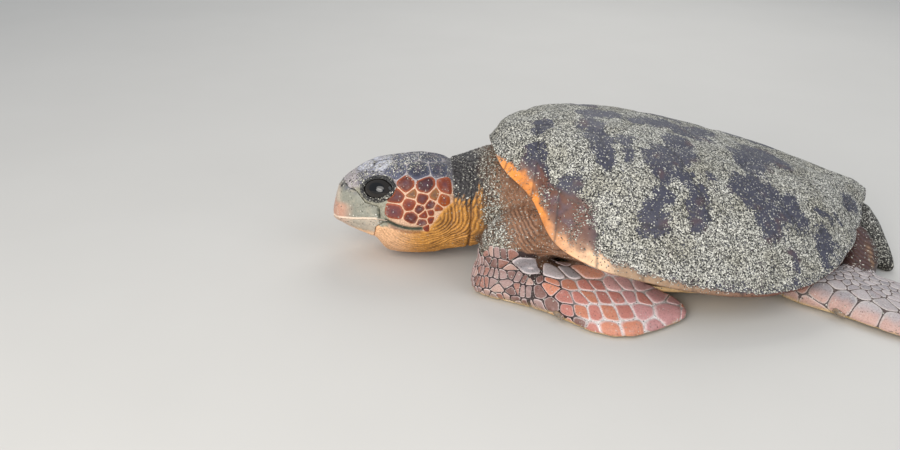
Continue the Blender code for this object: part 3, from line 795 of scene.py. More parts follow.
class Plates:
    """Collects closed horny plates into one mesh, with their colours and their bake layout."""

    def __init__(self, pale_below=False):
        self.verts, self.faces, self.tints, self.rims = [], [], [], []
        self.edges, self.layout = [], []
        self.pale_below = pale_below

    def add(self, outline, lay, thick, tint, rim, shift=0.0):
        """One plate from its outline on a flat chart; `lay` puts chart places on the skin.

        The bake layout moves along by `shift`, so that two charts do not overlap."""
        count, rings = len(outline), len(RING_SHARES)
        middle = outline.mean(axis=0)
        start = len(self.verts)
        spots = [
            (spot, height, 1 - share)
            for share, height in zip(RING_SHARES, RING_HEIGHTS)
            for spot in middle + (outline - middle) * share
        ]
        spots += [(middle, TOP_HEIGHT, 1.0), (middle, ROOT_HEIGHT, 0.0)]
        for spot, height, inward in spots:
            found = lay(spot)
            if found is None:
                for kept in (self.verts, self.tints, self.rims, self.edges, self.layout):
                    del kept[start:]
                return
            place, normal = found
            place = place + normal * height * (thick if height > 0 else ROOT_DEPTH)
            place[2] = max(place[2], OFF_FLOOR / 2)
            under = beneath(normal[2], place[2]) if self.pale_below else 0.0
            self.verts.append(place)
            self.tints.append(blend(under, tint(spot) if callable(tint) else tint, TINT["under"]))
            self.rims.append(blend(under, rim, TINT["under"]))
            self.edges.append(inward)
            self.layout.append(spot + (shift, 0))
        last, top = start + (rings - 1) * count, start + rings * count
        around = [(i, (i + 1) % count) for i in range(count)]
        for ring in range(start, last, count):
            for i, j in around:
                self.faces.append((ring + i, ring + j, ring + j + count, ring + i + count))
        for i, j in around:
            self.faces.append((last + i, last + j, top))
            self.faces.append((start + j, start + i, top + 1))

    def piece(self, name):
        obj = new_piece(name, self.verts, self.faces)
        mesh = obj.data
        set_colour(mesh, "tint", np.array(self.tints))
        set_colour(mesh, "rim", np.array(self.rims))
        set_value(mesh, "inward", self.edges)
        set_value(mesh, "sand", sand_on_scales(np.array(self.verts)))
        spread = np.array(self.layout)
        low, size = spread.min(axis=0), np.ptp(spread, axis=0).max()
        owners = pulled(mesh.loops, "vertex_index", 1, np.int32)[:, 0]
        layout = ((spread - low) / size * 0.98 + 0.01)[owners].astype(np.float32)
        mesh.uv_layers.new(name="OFBake").data.foreach_set("uv", layout.ravel())
        return obj


def sand_on_scales(points):
    x, w = head_chart(points)
    crown = smooth(-0.47, -0.49, x) * smooth(0.07, 0.02, w) * (0.16 + 0.34 * smooth(-0.51, -0.57, x))
    crown *= 1 - 0.5 * smooth(-0.585, -0.615, x)
    return np.clip(crown * (1 + 0.4 * drift(points, 0.03, 11)) + 0.02, 0, 1)


# The head's plates on the left: X, degrees round from the crown, weight in mm squared, tint.
# A plate on the middle line has 0 degrees. None stands for bare skin.
HEAD_PLATES = [
    (-0.568, 45, 0, "maroon"), (-0.531, 47, 40, "maroon_deep"), (-0.489, 46, 0, "red_brown"),
    (-0.585, 57, 10, "maroon"), (-0.589, 76, 90, "plum"), (-0.556, 83, 20, "maroon"),
    (-0.560, 67, 0, "red_brown"), (-0.556, 57, -95, "ochre_horn"), (-0.535, 61, 0, "maroon"),
    (-0.495, 63, 0, "orange_horn"), (-0.521, 68, 0, "maroon"), (-0.541, 73, -10, "maroon"),
    (-0.519, 77, 0, "red_brown"), (-0.532, 80, 0, "red_brown"), (-0.534, 89, 0, "maroon"),
    (-0.519, 86, 0, "red_brown"), (-0.506, 73, 0, "orange_horn"), (-0.514, 58, -70, "ochre_horn"),
    (-0.527, 98, 0, "red_brown"),
    (-0.503, 23, 80, "slate_dark"), (-0.542, 27, 160, "slate_dark"), (-0.587, 26, 60, "slate"),
    # The pale front plates carry a painted sheen of light in their tint.
    (-0.520, 0, 60, "slate_dark"), (-0.566, 0, 200, "slate"), (-0.612, 12, 40, "slate_front_sheen"),
    (-0.646, 4, 0, "slate_pale_sheen"), (-0.676, 13, 0, "slate_pale_sheen"),
    (-0.660, 20, None, None), (-0.655, 33, None, None), (-0.633, 35, None, None),
    (-0.606, 45, None, None), (-0.672, 36, None, None),
    (-0.505, 78, None, None), (-0.485, 76, None, None), (-0.507, 88, None, None),
    (-0.515, 98, None, None), (-0.540, 102, None, None), (-0.556, 101, None, None),
    (-0.573, 98, None, None), (-0.592, 97, None, None), (-0.620, 92, None, None),
    (-0.627, 72, None, None), (-0.470, 25, None, None), (-0.470, 0, None, None),
    (-0.466, 45, None, None), (-0.467, 62, None, None), (-0.620, 52, None, None),
    (-0.500, 108, None, None), (-0.530, 108, None, None), (-0.700, 0, None, None),
    (-0.700, 30, None, None),
]
ARM_UNTIL = 0.3625      # up to this share of the front flipper its plates climb the arm
ELBOW_SLACK = 0.014     # how far a plate may pass the line where the elbow's plates end
HEAD_SEAM = 0.0019
CROWN_SEAM = 0.0009


def jittered(box, step, stretch, seed):
    """Places on a shaken grid over a box of the chart: narrow cells where stretch is over 1."""
    draw = np.random.default_rng(seed)
    (u1, u2), (v1, v2) = box
    found = []
    for row, v in enumerate(np.arange(v1, v2, step)):
        for u in np.arange(u1 + (row % 2) * step * stretch / 2, u2, step * stretch):
            shake = draw.uniform(-0.3, 0.3, 2) * (step * stretch, step)
            found.append((u + shake[0], v + shake[1]))
    return found


def make_head_scales(surface):
    """The crown's shields and the cheeks' plates, on both sides."""
    seeds, looks = [], []
    for side in (1, -1):
        for x, turn, weight, tint in HEAD_PLATES:
            if side > 0 or turn:
                seeds.append((x, side * math.radians(turn) * HEAD_REACH, (weight or 0) * 1e-6))
                looks.append(tint)

    def lay(spot):
        turn = spot[1] / HEAD_REACH
        out = np.array([0, -math.sin(turn), math.cos(turn)])
        return surface.cast(np.array([spot[0], 0, HEAD_AXIS]) + out * CAST_FROM, -out)

    plates = Plates()
    for polygon, look in zip(cells(seeds, HEAD_SEAM), looks):
        if look is None or polygon is None:
            continue
        size = np.ptp(polygon, axis=0).max()
        crown = look.startswith("slate")
        if crown:
            middle = polygon.mean(axis=0)
            polygon = middle + (polygon - middle) * (1 + (HEAD_SEAM - CROWN_SEAM) / size)
        outline = rounded_outline(polygon, 32 if size > 0.014 else 18, 0.10 if crown else 0.15)
        outline = clear_of_eye(outline)
        shade = 1 + 0.12 * drift(np.array([[*outline[0], 0.0]]), 0.004, 3)[0]
        rim = TINT["slate"] if crown else TINT["rim_horn"]
        plates.add(outline, lay, 0.0010 if size > 0.012 else 0.0008, TINT[look] * shade, rim)
    return plates.piece("head_scales")


def clear_of_eye(outline):
    """Moves what would cover the lids out to their border."""
    moved = outline.copy()
    for side in (1, -1):
        centre = np.array([EYE[0] - 0.0035, side * 0.0725])
        radii = np.array([0.0350, 0.0265])
        offset = (moved - centre) / radii
        far = np.linalg.norm(offset, axis=1)
        inside = far < 1
        moved[inside] = centre + (offset[inside] / far[inside][:, None]) * radii
    return moved


def run_length(flat, up):
    return np.r_[0, np.cumsum(np.hypot(np.diff(flat), np.diff(up)))]


class FlipperChart:
    """A flipper's upper skin laid out flat: metres along its length and over its section.

    Up to the share `arm_until` the sections climb the front of the arm."""

    def __init__(self, stations, side, surface, length, arm_until=0.0):
        self.rows = along(stations, 81)
        self.side, self.surface, self.length, self.arm_until = side, surface, length, arm_until
        angles = np.radians(np.linspace(215, -35, 101))
        c, s = np.cos(angles), np.sin(angles)
        across = np.sign(c) * np.abs(c) ** (2 / FLIPPER_ROUND)
        rise = np.sign(s) * np.abs(s) ** (2 / FLIPPER_ROUND)
        self.sections = []
        for i, row in enumerate(self.rows):
            flat = row[3] * across
            up = row[4] * rise * (1 - LEADING_FULLNESS * across)
            steps = run_length(flat, up)
            steps -= steps[int(np.argmin(np.abs(flat)))]
            if i / 80 < arm_until:
                lead = steps[14]
                flat, up, edge = self.over_arm(row)
                steps = run_length(flat, up)
                steps += lead - steps[edge]
            self.sections.append((row, flat, up, steps))

    def climbs(self, share):
        return share < self.arm_until

    @staticmethod
    def axes(row):
        turn, tilt = math.radians(row[5]), math.radians(row[6])
        level = np.array([math.cos(turn), math.sin(turn), 0])
        return level, level * math.cos(tilt) + (0, 0, math.sin(tilt)), math.sin(tilt), math.cos(tilt)

    def over_arm(self, row):
        """The section's outline found from outside, all round from beneath the leading edge."""
        level, back, sine, cosine = self.axes(row)
        mirror = np.array([1, -self.side, 1])
        flat, up = [], []
        turns = np.radians(np.linspace(215, 66, 101))
        for turn in turns:
            out = back * math.cos(turn) + (0, 0, math.sin(turn))
            found = self.surface.cast((row[:3] + out * CAST_FROM) * mirror, -out * mirror)
            if found is None:
                continue
            offset = found[0] * mirror - row[:3]
            flat.append(offset @ level / cosine)
            up.append(offset[2] - flat[-1] * sine)
        return np.array(flat), np.array(up), int(np.argmin(np.abs(turns[:len(flat)] - math.pi)))

    def section(self, share):
        return self.sections[int(np.clip(round(share * 80), 0, 80))]

    def place(self, share, across):
        """Chart place from shares along and across, as the tables give them."""
        row, flat, _, steps = self.section(share)
        lead, trail = int(np.argmin(flat)), int(np.argmax(flat))
        return np.array([share * self.length,
                         np.interp(across * row[3], flat[lead:trail + 1], steps[lead:trail + 1])])

    def lay(self, spot):
        share = float(np.clip(spot[0] / self.length, 0, 1))
        low = min(int(share * 80), 79)
        part = share * 80 - low
        offsets = []
        for row, flat, up, steps in self.sections[low:low + 2]:
            across = np.interp(spot[1], steps, flat)
            lift = np.interp(spot[1], steps, up)
            offsets.append(self.axes(row)[1] * across + (0, 0, lift))
        if self.climbs(low / 80) != self.climbs((low + 1) / 80):
            offsets = [offsets[0 if self.climbs(share) else 1]] * 2
        starts = self.rows[low][:3], self.rows[low + 1][:3]
        point = (starts[0] + offsets[0]) * (1 - part) + (starts[1] + offsets[1]) * part
        point[1] *= -self.side
        found = self.surface.nearest(point)
        if self.climbs(share) and found and on_elbow_top(found[0]) > ELBOW_SLACK:
            return None
        return found


FRONT_LENGTH = 0.42     # metres along each chart
HIND_LENGTH = 0.40
CHART_START = 0.004     # no plate starts nearer to the joint
HIND_SHIFT = 0.46       # keeps the hind plates clear of the front ones in the bake layout
# Front flipper plates: share along, share across (-1 leads, 1 trails), weight, tint, thickness mm.
# Where the plates climb the arm, the second number is the way over the section in decimetres.
FRONT_PLATES = [
    (0.376, 0.62, 0, None, 0.0), (0.320, 0.28, 100, "grey_scale", 2.0),
    (0.330, -0.08, 300, "grey_scale", 2.2),
    (0.406, 0.04, 300, "pale_scale", 2.4), (0.452, 0.28, 220, "grey_scale", 2.4),
    # The plates of the top row beside the shell take the lighter orange and pink tints: painted light over
    # the shell's shadow.
    (0.502, 0.56, 330, "painted_lit_orange", 2.4), (0.365, -0.46, 0, "dusky_scale", 1.2),
    (0.415, -0.34, 0, "orange_scale", 1.0), (0.465, -0.20, 0, "orange_scale", 1.0),
    (0.52, -0.02, 0, "red_scale", 1.0), (0.555, 0.14, 0, "red_scale", 1.0),
    (0.615, 0.30, 40, "painted_lit_pink", 1.3), (0.665, 0.50, 60, "painted_lit_pink", 1.5),
    (0.72, 0.66, 60, "painted_lit_pink", 1.6), (0.785, 0.44, 200, "pink_scale", 1.4),
    (0.86, 0.52, 60, "pink_scale", 1.2),
    (0.385, -0.80, 0, "dusky_scale", 1.0), (0.415, -0.60, 0, "orange_scale", 1.0),
    (0.47, -0.66, 0, "red_scale", 1.0), (0.515, -0.50, 0, "red_scale", 1.0),
    (0.545, -0.30, 0, "orange_scale", 1.0), (0.59, -0.18, 0, "red_scale", 1.0),
    (0.635, -0.05, 20, "red_scale", 1.0), (0.685, 0.09, 20, "pink_scale", 1.0),
    (0.735, 0.16, 20, "red_scale", 1.0),
    (0.44, -0.96, 0, "dusky_scale", 1.0), (0.485, -0.90, 0, "red_scale", 1.0),
    (0.53, -0.79, 0, "orange_scale", 1.0), (0.575, -0.66, 0, "red_scale", 1.0),
    (0.62, -0.55, 30, "orange_scale", 1.0), (0.675, -0.46, 60, "red_scale", 1.0),
    (0.735, -0.36, 80, "pink_scale", 1.0), (0.86, -0.32, 560, "pink_scale", 1.3),
    (0.53, -1.04, 0, "dusky_scale", 1.0), (0.575, -1.00, 10, "red_scale", 1.0),
    (0.63, -0.92, 60, "orange_scale", 1.1), (0.71, -0.88, 120, "orange_scale", 1.1),
    (0.80, -0.98, 60, "pink_scale", 1.1), (0.95, 0.3, 0, "pink_scale", 1.0),
]
HIND_PLATES = [
    (0.17, -0.78, 40, "dusky_scale", 1.2), (0.24, -0.76, 60, "dusky_scale", 1.2),
    (0.32, -0.76, 120, "grey_scale", 1.3), (0.405, -0.74, 160, "grey_scale", 1.4),
    (0.495, -0.74, 160, "pale_scale", 1.4), (0.58, -0.74, 140, "pale_scale", 1.4),
    (0.665, -0.74, 140, "grey_scale", 1.3), (0.75, -0.74, 120, "grey_scale", 1.2),
    (0.84, -0.70, 80, "grey_scale", 1.2), (0.92, -0.3, 60, "pale_scale", 1.2),
    (0.28, -0.40, 0, "pale_scale", 1.1), (0.36, -0.34, 20, "pale_scale", 1.1),
    (0.445, -0.32, 40, "pale_scale", 1.2), (0.53, -0.32, 40, "pale_scale", 1.2),
    (0.62, -0.32, 20, "pale_scale", 1.1), (0.70, -0.32, 20, "pale_scale", 1.1),
    (0.79, -0.30, 20, "grey_scale", 1.1),
]


def tagged(chart, rows):
    seeds, looks = [], []
    for share, across, weight, tint, thick in rows:
        u, v = chart.place(share, across)
        if chart.climbs(share):
            v = across * 0.1
        seeds.append((u, v, weight * 1e-6))
        looks.append((tint, thick * MM))
    return seeds, looks


def filled(chart, seeds, looks, box, step, stretch, seed, tints, thick, clearance, above_only=2.0):
    """Adds small plates on a shaken grid wherever no plate stands near, past `above_only` only
    under the edges."""
    draw = np.random.default_rng(seed + 50)
    taken = np.array([s[:2] for s in seeds])
    room = np.array([0.0085 if high > THICK else 0.0 for _, high in looks])
    (s1, s2), (t1, t2) = box
    corners = [(s1 * chart.length, s2 * chart.length), (t1, t2)]
    for u, v in jittered(corners, step, stretch, seed):
        share = u / chart.length
        if not 0.02 < share < 0.985:
            continue
        _, _, _, steps = chart.section(share)
        if not steps[8] < v < steps[-9]:
            continue
        if np.min(np.hypot(*(taken - (u, v)).T) - room) < clearance:
            continue
        if above_only < share and steps[10] < v < steps[-14]:
            continue
        seeds.append((u, v, 0.0))
        looks.append((tints[int(draw.integers(len(tints)))], thick))


def make_flipper_scales(surface, side, word):
    """Plates on a side's front and hind flipper, above and below the leading edge."""
    plates = Plates(pale_below=True)
    front = FlipperChart(FRONT_FLIPPER, side, surface, FRONT_LENGTH, ARM_UNTIL)
    seeds, looks = tagged(front, FRONT_PLATES)
    elbow = ["elbow", "elbow", "elbow_pale", "dusky_scale", "elbow_brown"]
    blade = ["pink_scale", "red_scale", "orange_scale"]
    filled(front, seeds, looks, ((0.02, 0.41), (-0.12, 0.16)), 0.0200, 0.46, 4, elbow, 0.0013, 0.0135)
    filled(front, seeds, looks, ((0.41, 1.0), (-0.12, 0.12)), 0.012, 1.2, 5, blade, 0.0009, 0.014, 0.41)
    add_plates(plates, front, seeds, looks, 0.0015, "rim_blade")
    hind = FlipperChart(HIND_FLIPPER, side, surface, HIND_LENGTH)
    seeds, looks = tagged(hind, HIND_PLATES)
    greys = ["grey_scale", "pale_scale"] * 2
    filled(hind, seeds, looks, ((0.05, 1.0), (-0.012, 0.12)), 0.0110, 1.7, 6, greys, 0.0009, 0.0140)
    filled(hind, seeds, looks, ((0.05, 1.0), (-0.12, 0.12)), 0.0130, 1.4, 8, greys, 0.0009, 0.0140, 0.0)
    add_plates(plates, hind, seeds, looks, 0.0012, "rim_grey", HIND_SHIFT)
    return plates.piece(f"flipper_scales_{word}")


def add_plates(plates, chart, seeds, looks, seam, rim, shift=0.0):
    """Rounds each seed's cell and lays it on the flipper; None for a tint leaves bare skin."""
    border = chart.arm_until * chart.length
    end = chart.length * 0.992
    for polygon, (tint, thick) in zip(cells(seeds, seam, 0.035), looks):
        if polygon is None or tint is None:
            continue
        over = 0.005 if thick > THICK else 0.001
        climbing = chart.climbs(polygon[:, 0].mean() / chart.length)
        low, high = (CHART_START, border + over) if climbing else (border + 0.0005, end)
        low = max(low, CHART_START)
        polygon[:, 0] = np.clip(polygon[:, 0], low, high)
        size = np.ptp(polygon, axis=0).max()
        outline = rounded_outline(polygon, 26 if size > 0.018 else 14, 0.16)
        middle = outline.mean(axis=0)
        share = middle[0] / chart.length
        if thick > THICK:
            outline = middle + (outline - middle) * 0.97
        if not 0.01 < share < 0.99:
            continue
        if chart.climbs(share):
            found = chart.lay(middle)
            if found is None or on_elbow_top(found[0]) > 0:
                continue
        _, _, _, steps = chart.section(share)
        outline[:, 1] = np.clip(outline[:, 1], steps[2], steps[-3])
        outline[:, 0] = np.clip(outline[:, 0], low, high)
        look = TINT[tint] * (1 + 0.14 * drift(np.array([[*middle, 0.3]]), 0.004, 4)[0])
        plates.add(outline, chart.lay, thick, glowing(chart, look) if shift else look, TINT[rim], shift)


def glowing(chart, tint):
    """A plate's tint that turns orange towards the flipper's leading edge."""
    def at(spot):
        steps = chart.section(spot[0] / chart.length)[3]
        share = spot[0] / chart.length
        uneven = 0.006 * drift(np.array([[*spot, 0.7]]), 0.007, 25)[0]
        near = smooth(0.034, 0.008, spot[1] - steps[14] + uneven) * smooth(0.12, 0.22, share)
        return blend(0.55 * near, tint, TINT["hind_glow"])
    return at


def on_elbow_top(place):
    """Height of a place over the uneven line where the elbow's plates end on the arm."""
    shake = 0.012 * drift(np.array([place]), 0.016, 24)[0]
    return place[2] + shake - on_line(place[0], ELBOW_TOP)


# ---- Shell --------------------------------------------------------------------------------

LAST = len(MARGIN) - 1   # marginal shields on a side
SHELL_STEPS = 18
SHELL_ROWS = 84
INNER_EVERY = 6
MARGINAL_BORDER = [(0, .14), (1, .16), (2, .20), (3, .22), (4, .21), (5, .19), (7, .19), (10, .20),
                   (12, .22), (13, .20), (14, .16)]
VERTEBRAL_BORDER = [(0, .14), (1, .16), (1.6, .40), (2.6, .62), (4.1, .76), (5.1, .66), (6.1, .77),
                    (7.0, .67), (7.95, .77), (8.8, .66), (9.65, .76), (11.2, .62), (12.4, .36),
                    (13.2, .20), (14, .16)]
# Width and brightness of the bare rim, over the marginal shields from the nape back.
RIM_WIDTH = [(0, .003), (1.2, .004), (1.7, .09), (2.2, .12), (3.2, .075), (4, .05), (5, .05),
             (6, .028), (9, .004), (14, .002)]
RIM_BRIGHT = [(0, 0.2), (1.5, 0.8), (2.4, 1), (3.6, 1), (4.6, 0.35), (5.4, 0)]
COSTAL_SEAMS = [(2.6, 3.1), (5.1, 5.4), (7.0, 7.6), (8.8, 9.7)]
VERTEBRAL_SEAMS = [4.1, 6.1, 7.95, 9.65]
BELLY_SEAMS = (-0.262, -0.165, -0.055, 0.060, 0.175)   # X of the seams across the plastron
# Where the horn shows through the sand: X, Y, radius.
BARE_LEFT = [
    (-0.304, -0.054, 0.020), (-0.314, -0.070, 0.014), (-0.212, -0.006, 0.026),
    (-0.182, 0.004, 0.028), (-0.155, 0.012, 0.022), (-0.212, -0.060, 0.028),
    (-0.205, -0.100, 0.030), (-0.208, -0.135, 0.026), (-0.206, -0.158, 0.018),
    (-0.160, -0.104, 0.020), (-0.163, -0.141, 0.014), (-0.113, -0.006, 0.020),
    (-0.073, 0.008, 0.030), (-0.038, 0.018, 0.034), (-0.018, -0.008, 0.034),
    (0.010, -0.012, 0.030), (-0.048, -0.075, 0.034), (-0.108, -0.150, 0.030),
    (-0.076, -0.130, 0.036), (-0.045, -0.125, 0.030), (-0.100, -0.177, 0.022),
    (-0.062, -0.178, 0.018), (-0.108, -0.218, 0.019), (-0.136, -0.243, 0.025),
    (-0.122, -0.255, 0.016), (-0.046, -0.209, 0.020), (-0.047, -0.232, 0.020),
    (-0.038, -0.244, 0.015), (-0.052, -0.261, 0.014), (-0.005, -0.175, 0.012),
    (-0.331, -0.119, 0.026), (-0.321, -0.139, 0.018), (-0.280, -0.198, 0.034),
    (-0.246, -0.246, 0.020), (0.146, -0.030, 0.056), (0.100, -0.080, 0.050),
    (0.062, -0.181, 0.040), (0.095, -0.160, 0.036), (0.100, -0.222, 0.034),
    (0.145, -0.200, 0.034), (0.314, -0.091, 0.026), (0.228, -0.172, 0.013),
    (0.212, -0.222, 0.027), (0.134, -0.280, 0.013), (0.263, -0.168, 0.010),
    (0.031, 0.035, 0.040),
]
BARE_RIGHT = [
    (-0.190, 0.090, 0.044), (-0.120, 0.160, 0.050), (-0.020, 0.120, 0.052), (0.070, 0.170, 0.046),
    (0.150, 0.110, 0.050), (0.230, 0.120, 0.036), (-0.270, 0.150, 0.036), (0.010, 0.240, 0.030),
    (-0.180, 0.230, 0.034), (0.140, 0.240, 0.028), (0.290, 0.060, 0.030),
]


def margin(steps):
    """The carapace's edge from nape to tail end, `steps` columns to each marginal plate."""
    count = LAST * steps + 1
    share = along(MARGIN, count)
    edge = np.column_stack([(share[:, 0] - 0.5) * SHELL, share[:, 1] * SHELL, share[:, 2]])
    place = np.linspace(0, LAST, count)
    notch = np.clip((place - SERRATED_FROM) / 3, 0, 1) * (1 - np.sin(math.pi * (place % 1)))
    outward = edge[:, :2] / np.linalg.norm(edge[:, :2], axis=1, keepdims=True)
    edge[:, :2] -= outward * (SERRATION * notch)[:, None]
    edge[[0, -1], 1] = 0
    return edge


def dome(steps, inward):
    """The carapace's outer surface as an array of columns and rows."""
    edge = margin(steps)
    keel_x = edge[:, 0] * KEEL_REACH + KEEL_SHIFT
    keel_z = through(KEEL, keel_x)[:, 0]
    rise = through(DOME, inward)[:, 0]
    surface = np.zeros((len(edge), len(inward), 3))
    surface[:, :, 0] = edge[:, :1] + (keel_x - edge[:, 0])[:, None] * inward
    surface[:, :, 1] = edge[:, 1:2] * (1 - inward)
    surface[:, :, 2] = edge[:, 2:] + (keel_z - edge[:, 2])[:, None] * rise
    return surface


def outward(surface):
    """Unit normals of a surface array whose middle row lies on Y=0."""
    out = np.cross(np.gradient(surface, axis=1), np.gradient(surface, axis=0))
    out[:, -1] = out[:, -2]
    out[0, :, 1] = out[-1, :, 1] = out[:, -1, 1] = 0
    out /= np.linalg.norm(out, axis=2, keepdims=True)
    return out * np.sign(out[:, :, 2:3].mean())


def off_line(level, surface):
    """Distance in metres from the line where `level` is zero, over a surface array."""
    steep = np.hypot(
        np.gradient(level, axis=0) / (np.linalg.norm(np.gradient(surface, axis=0), axis=2) + 1e-9),
        np.gradient(level, axis=1) / (np.linalg.norm(np.gradient(surface, axis=1), axis=2) + 1e-9),
    )
    return np.abs(level) / (steep + 1e-6)


def scute_seams(place, inward, surface):
    """Distance from the nearest seam between shields, and 1 on the ring of marginal shields."""
    p, q = np.meshgrid(place, inward, indexing="ij")
    rim = on_line(p, MARGINAL_BORDER)
    crest = on_line(p, VERTEBRAL_BORDER)
    flat = surface.reshape(-1, 3)
    wave = (drift(flat, 0.03, 21) * 0.0016).reshape(p.shape)
    far = np.minimum(off_line(q - rim, surface), off_line(q - crest, surface))
    edge_seam = np.abs((p + 0.5) % 1 - 0.5) * np.linalg.norm(np.gradient(surface, place, axis=0), axis=2)
    far = np.minimum(far, np.where((q < rim) & (p > 0.5) & (p < LAST - 0.5), edge_seam, 1))
    for high, low in COSTAL_SEAMS:
        share = np.clip((q - rim) / np.maximum(crest - rim, 0.05), 0, 1)
        line = p - (low + (high - low) * share)
        far = np.minimum(far, np.where((q > rim) & (q < crest), off_line(line, surface), 1))
    for seam in VERTEBRAL_SEAMS:
        far = np.minimum(far, np.where(q > crest, off_line(p - seam, surface), 1))
    return np.maximum(far + wave, 0), smooth(0.01, -0.01, q - rim)


def bare_patches(points):
    """1 where the horn shows through the sand."""
    wander = np.interp(points[:, 0], [0.0, 0.06], [0.007, 0.016])
    wander += 0.020 * smooth(0.03, 0.06, points[:, 1])
    x = points[:, 0] + wander * drift(points, 0.035, 31) + 0.008 * drift(points, 0.012, 32)
    y = points[:, 1] + wander * drift(points, 0.035, 33) + 0.008 * drift(points, 0.012, 34)
    bare = np.zeros(len(points))
    for cx, cy, radius in BARE_LEFT + BARE_RIGHT:
        bare = np.maximum(bare, smooth(1.12, 0.72, np.hypot(x - cx, y - cy) / radius))
    return bare


def both_halves(sheet):
    """Corners and faces of a half surface, given as an array, and of its mirror image."""
    verts, faces = [], []
    columns, count = sheet.shape[:2]
    for side, _ in SIDES:
        start = len(verts)
        verts.extend((sheet * (1, side, 1)).reshape(-1, 3))
        for k in range(columns - 1):
            for j in range(count - 1):
                a = start + k * count + j
                b = a + count
                faces.append((a, b, b + 1, a + 1) if side < 0 else (a, a + 1, b + 1, b))
    return verts, faces


def make_carapace():
    """The upper shell with its shields, seams, orange front rim and coat of sand."""
    inward = np.linspace(0, 1, SHELL_ROWS) ** 1.25
    outer = dome(SHELL_STEPS, inward)
    place = np.linspace(0, LAST, len(outer))
    out = outward(outer)
    far, is_rim = scute_seams(place, inward, outer)
    flat = outer.reshape(-1, 3)
    q = np.broadcast_to(inward, far.shape)
    p = np.broadcast_to(place[:, None], far.shape)
    swell = smooth(0, 0.022, far) * (0.0016 * (1 - is_rim) + 0.0008)
    lumps = (0.0009 * drift(flat, 0.045, 41) + 0.0004 * drift(flat, 0.015, 42)).reshape(far.shape)
    fade = smooth(0, 0.03, q) * smooth(0, 0.05, np.minimum(p, LAST - p))
    height = (swell - 0.0016 + lumps) * fade - 0.0011 * bell(far, 0.0017) * smooth(0.0, 0.02, q)
    upper = outer + out * height[:, :, None]
    rows = list(range(0, SHELL_ROWS - 1, INNER_EVERY)) + [SHELL_ROWS - 1]
    under = outer[:, rows] - out[:, rows] * SHELL_WALL
    lip = (upper[:, 0] + under[:, 0]) / 2 + (upper[:, 0] - under[:, 0]) * 0.02
    lip[:, :2] *= 1.004
    sheet = np.concatenate([upper[:, ::-1], lip[:, None], under], axis=1)
    # Beside each place: its distance from a seam, how far in it lies (-1 inside) and how far round.
    lip_and_under = np.repeat([[0.0, -1.0]], len(far), axis=0).repeat([1, len(rows)], axis=1)
    sheet_far = np.concatenate([far[:, ::-1], np.ones(lip_and_under.shape)], axis=1)
    sheet_q = np.concatenate([q[:, ::-1], lip_and_under], axis=1)
    sheet_p = np.broadcast_to(place[:, None], sheet_far.shape)
    info = np.stack([sheet_far, sheet_q, sheet_p]).reshape(3, -1)
    obj = new_piece("carapace_shell", *both_halves(sheet))
    colour_shell(obj.data, *np.tile(info, 2))
    weld(obj.data, 2e-5, 1e-6)
    return obj


def colour_shell(mesh, far, q, p):
    """Horn, bare front shields, orange front rim and sand; `q` runs inwards, `p` along the edge."""
    points = coordinates(mesh)
    soft = drift(points, 0.05, 51)
    fine = drift(points, 0.010, 52)
    brown, plum = TINT["shell_brown"], TINT["shell_plum"]
    colour = np.tile(TINT["shell_dark"], (len(points), 1))
    patches = smooth(0.25, 0.7, drift(points, 0.04, 53) * 0.6 + drift(points, 0.012, 54) * 0.5)
    colour = blend(patches * 0.35, colour, brown)
    front_plates = smooth(0.235, 0.20, q) * smooth(2.6, 3.2, p) * smooth(5.2, 4.6, p)
    colour = blend(front_plates, colour, blend(smooth(-0.2, 0.4, soft + fine), plum, brown))
    edge = np.maximum(q, 0)
    width = on_line(p, RIM_WIDTH)
    rim = smooth(1.30, 0.55, edge / width + 0.40 * fine)
    tan = blend(smooth(5.0, 5.6, p), TINT["rim_pale"], TINT["rim_tan"])
    tan = blend(smooth(6.0, 9.0, p), tan, brown)
    orange = blend(0.4 * smooth(-0.1, 0.6, soft + 0.5 * fine), TINT["rim_orange"], brown)
    colour = blend(rim, colour, blend(on_line(p, RIM_BRIGHT), tan, orange))
    halo = smooth(2.1, 1.0, edge / width) * (1 - rim) * smooth(6, 4.5, p)
    colour = blend(halo * 0.55, colour, TINT["armpit"])
    sand = (0.93 - 0.80 * bare_patches(points)) * (1 - 0.9 * rim) * (1 - 0.62 * front_plates)
    sand *= 1 - 0.2 * smooth(0.05, 0.02, edge) * smooth(4.5, 5, p)
    # The shell's underside takes the rim's tan at half brightness: painted shade under the overhanging rim.
    inner = q < -0.5
    colour[inner] = TINT["rim_tan"] * 0.5
    sand[inner] = 0
    set_colour(mesh, "tint", np.clip(colour, 0, 1))
    set_value(mesh, "sand", np.clip(sand, 0, 1))
    set_value(mesh, "seam", bell(far, 0.002))


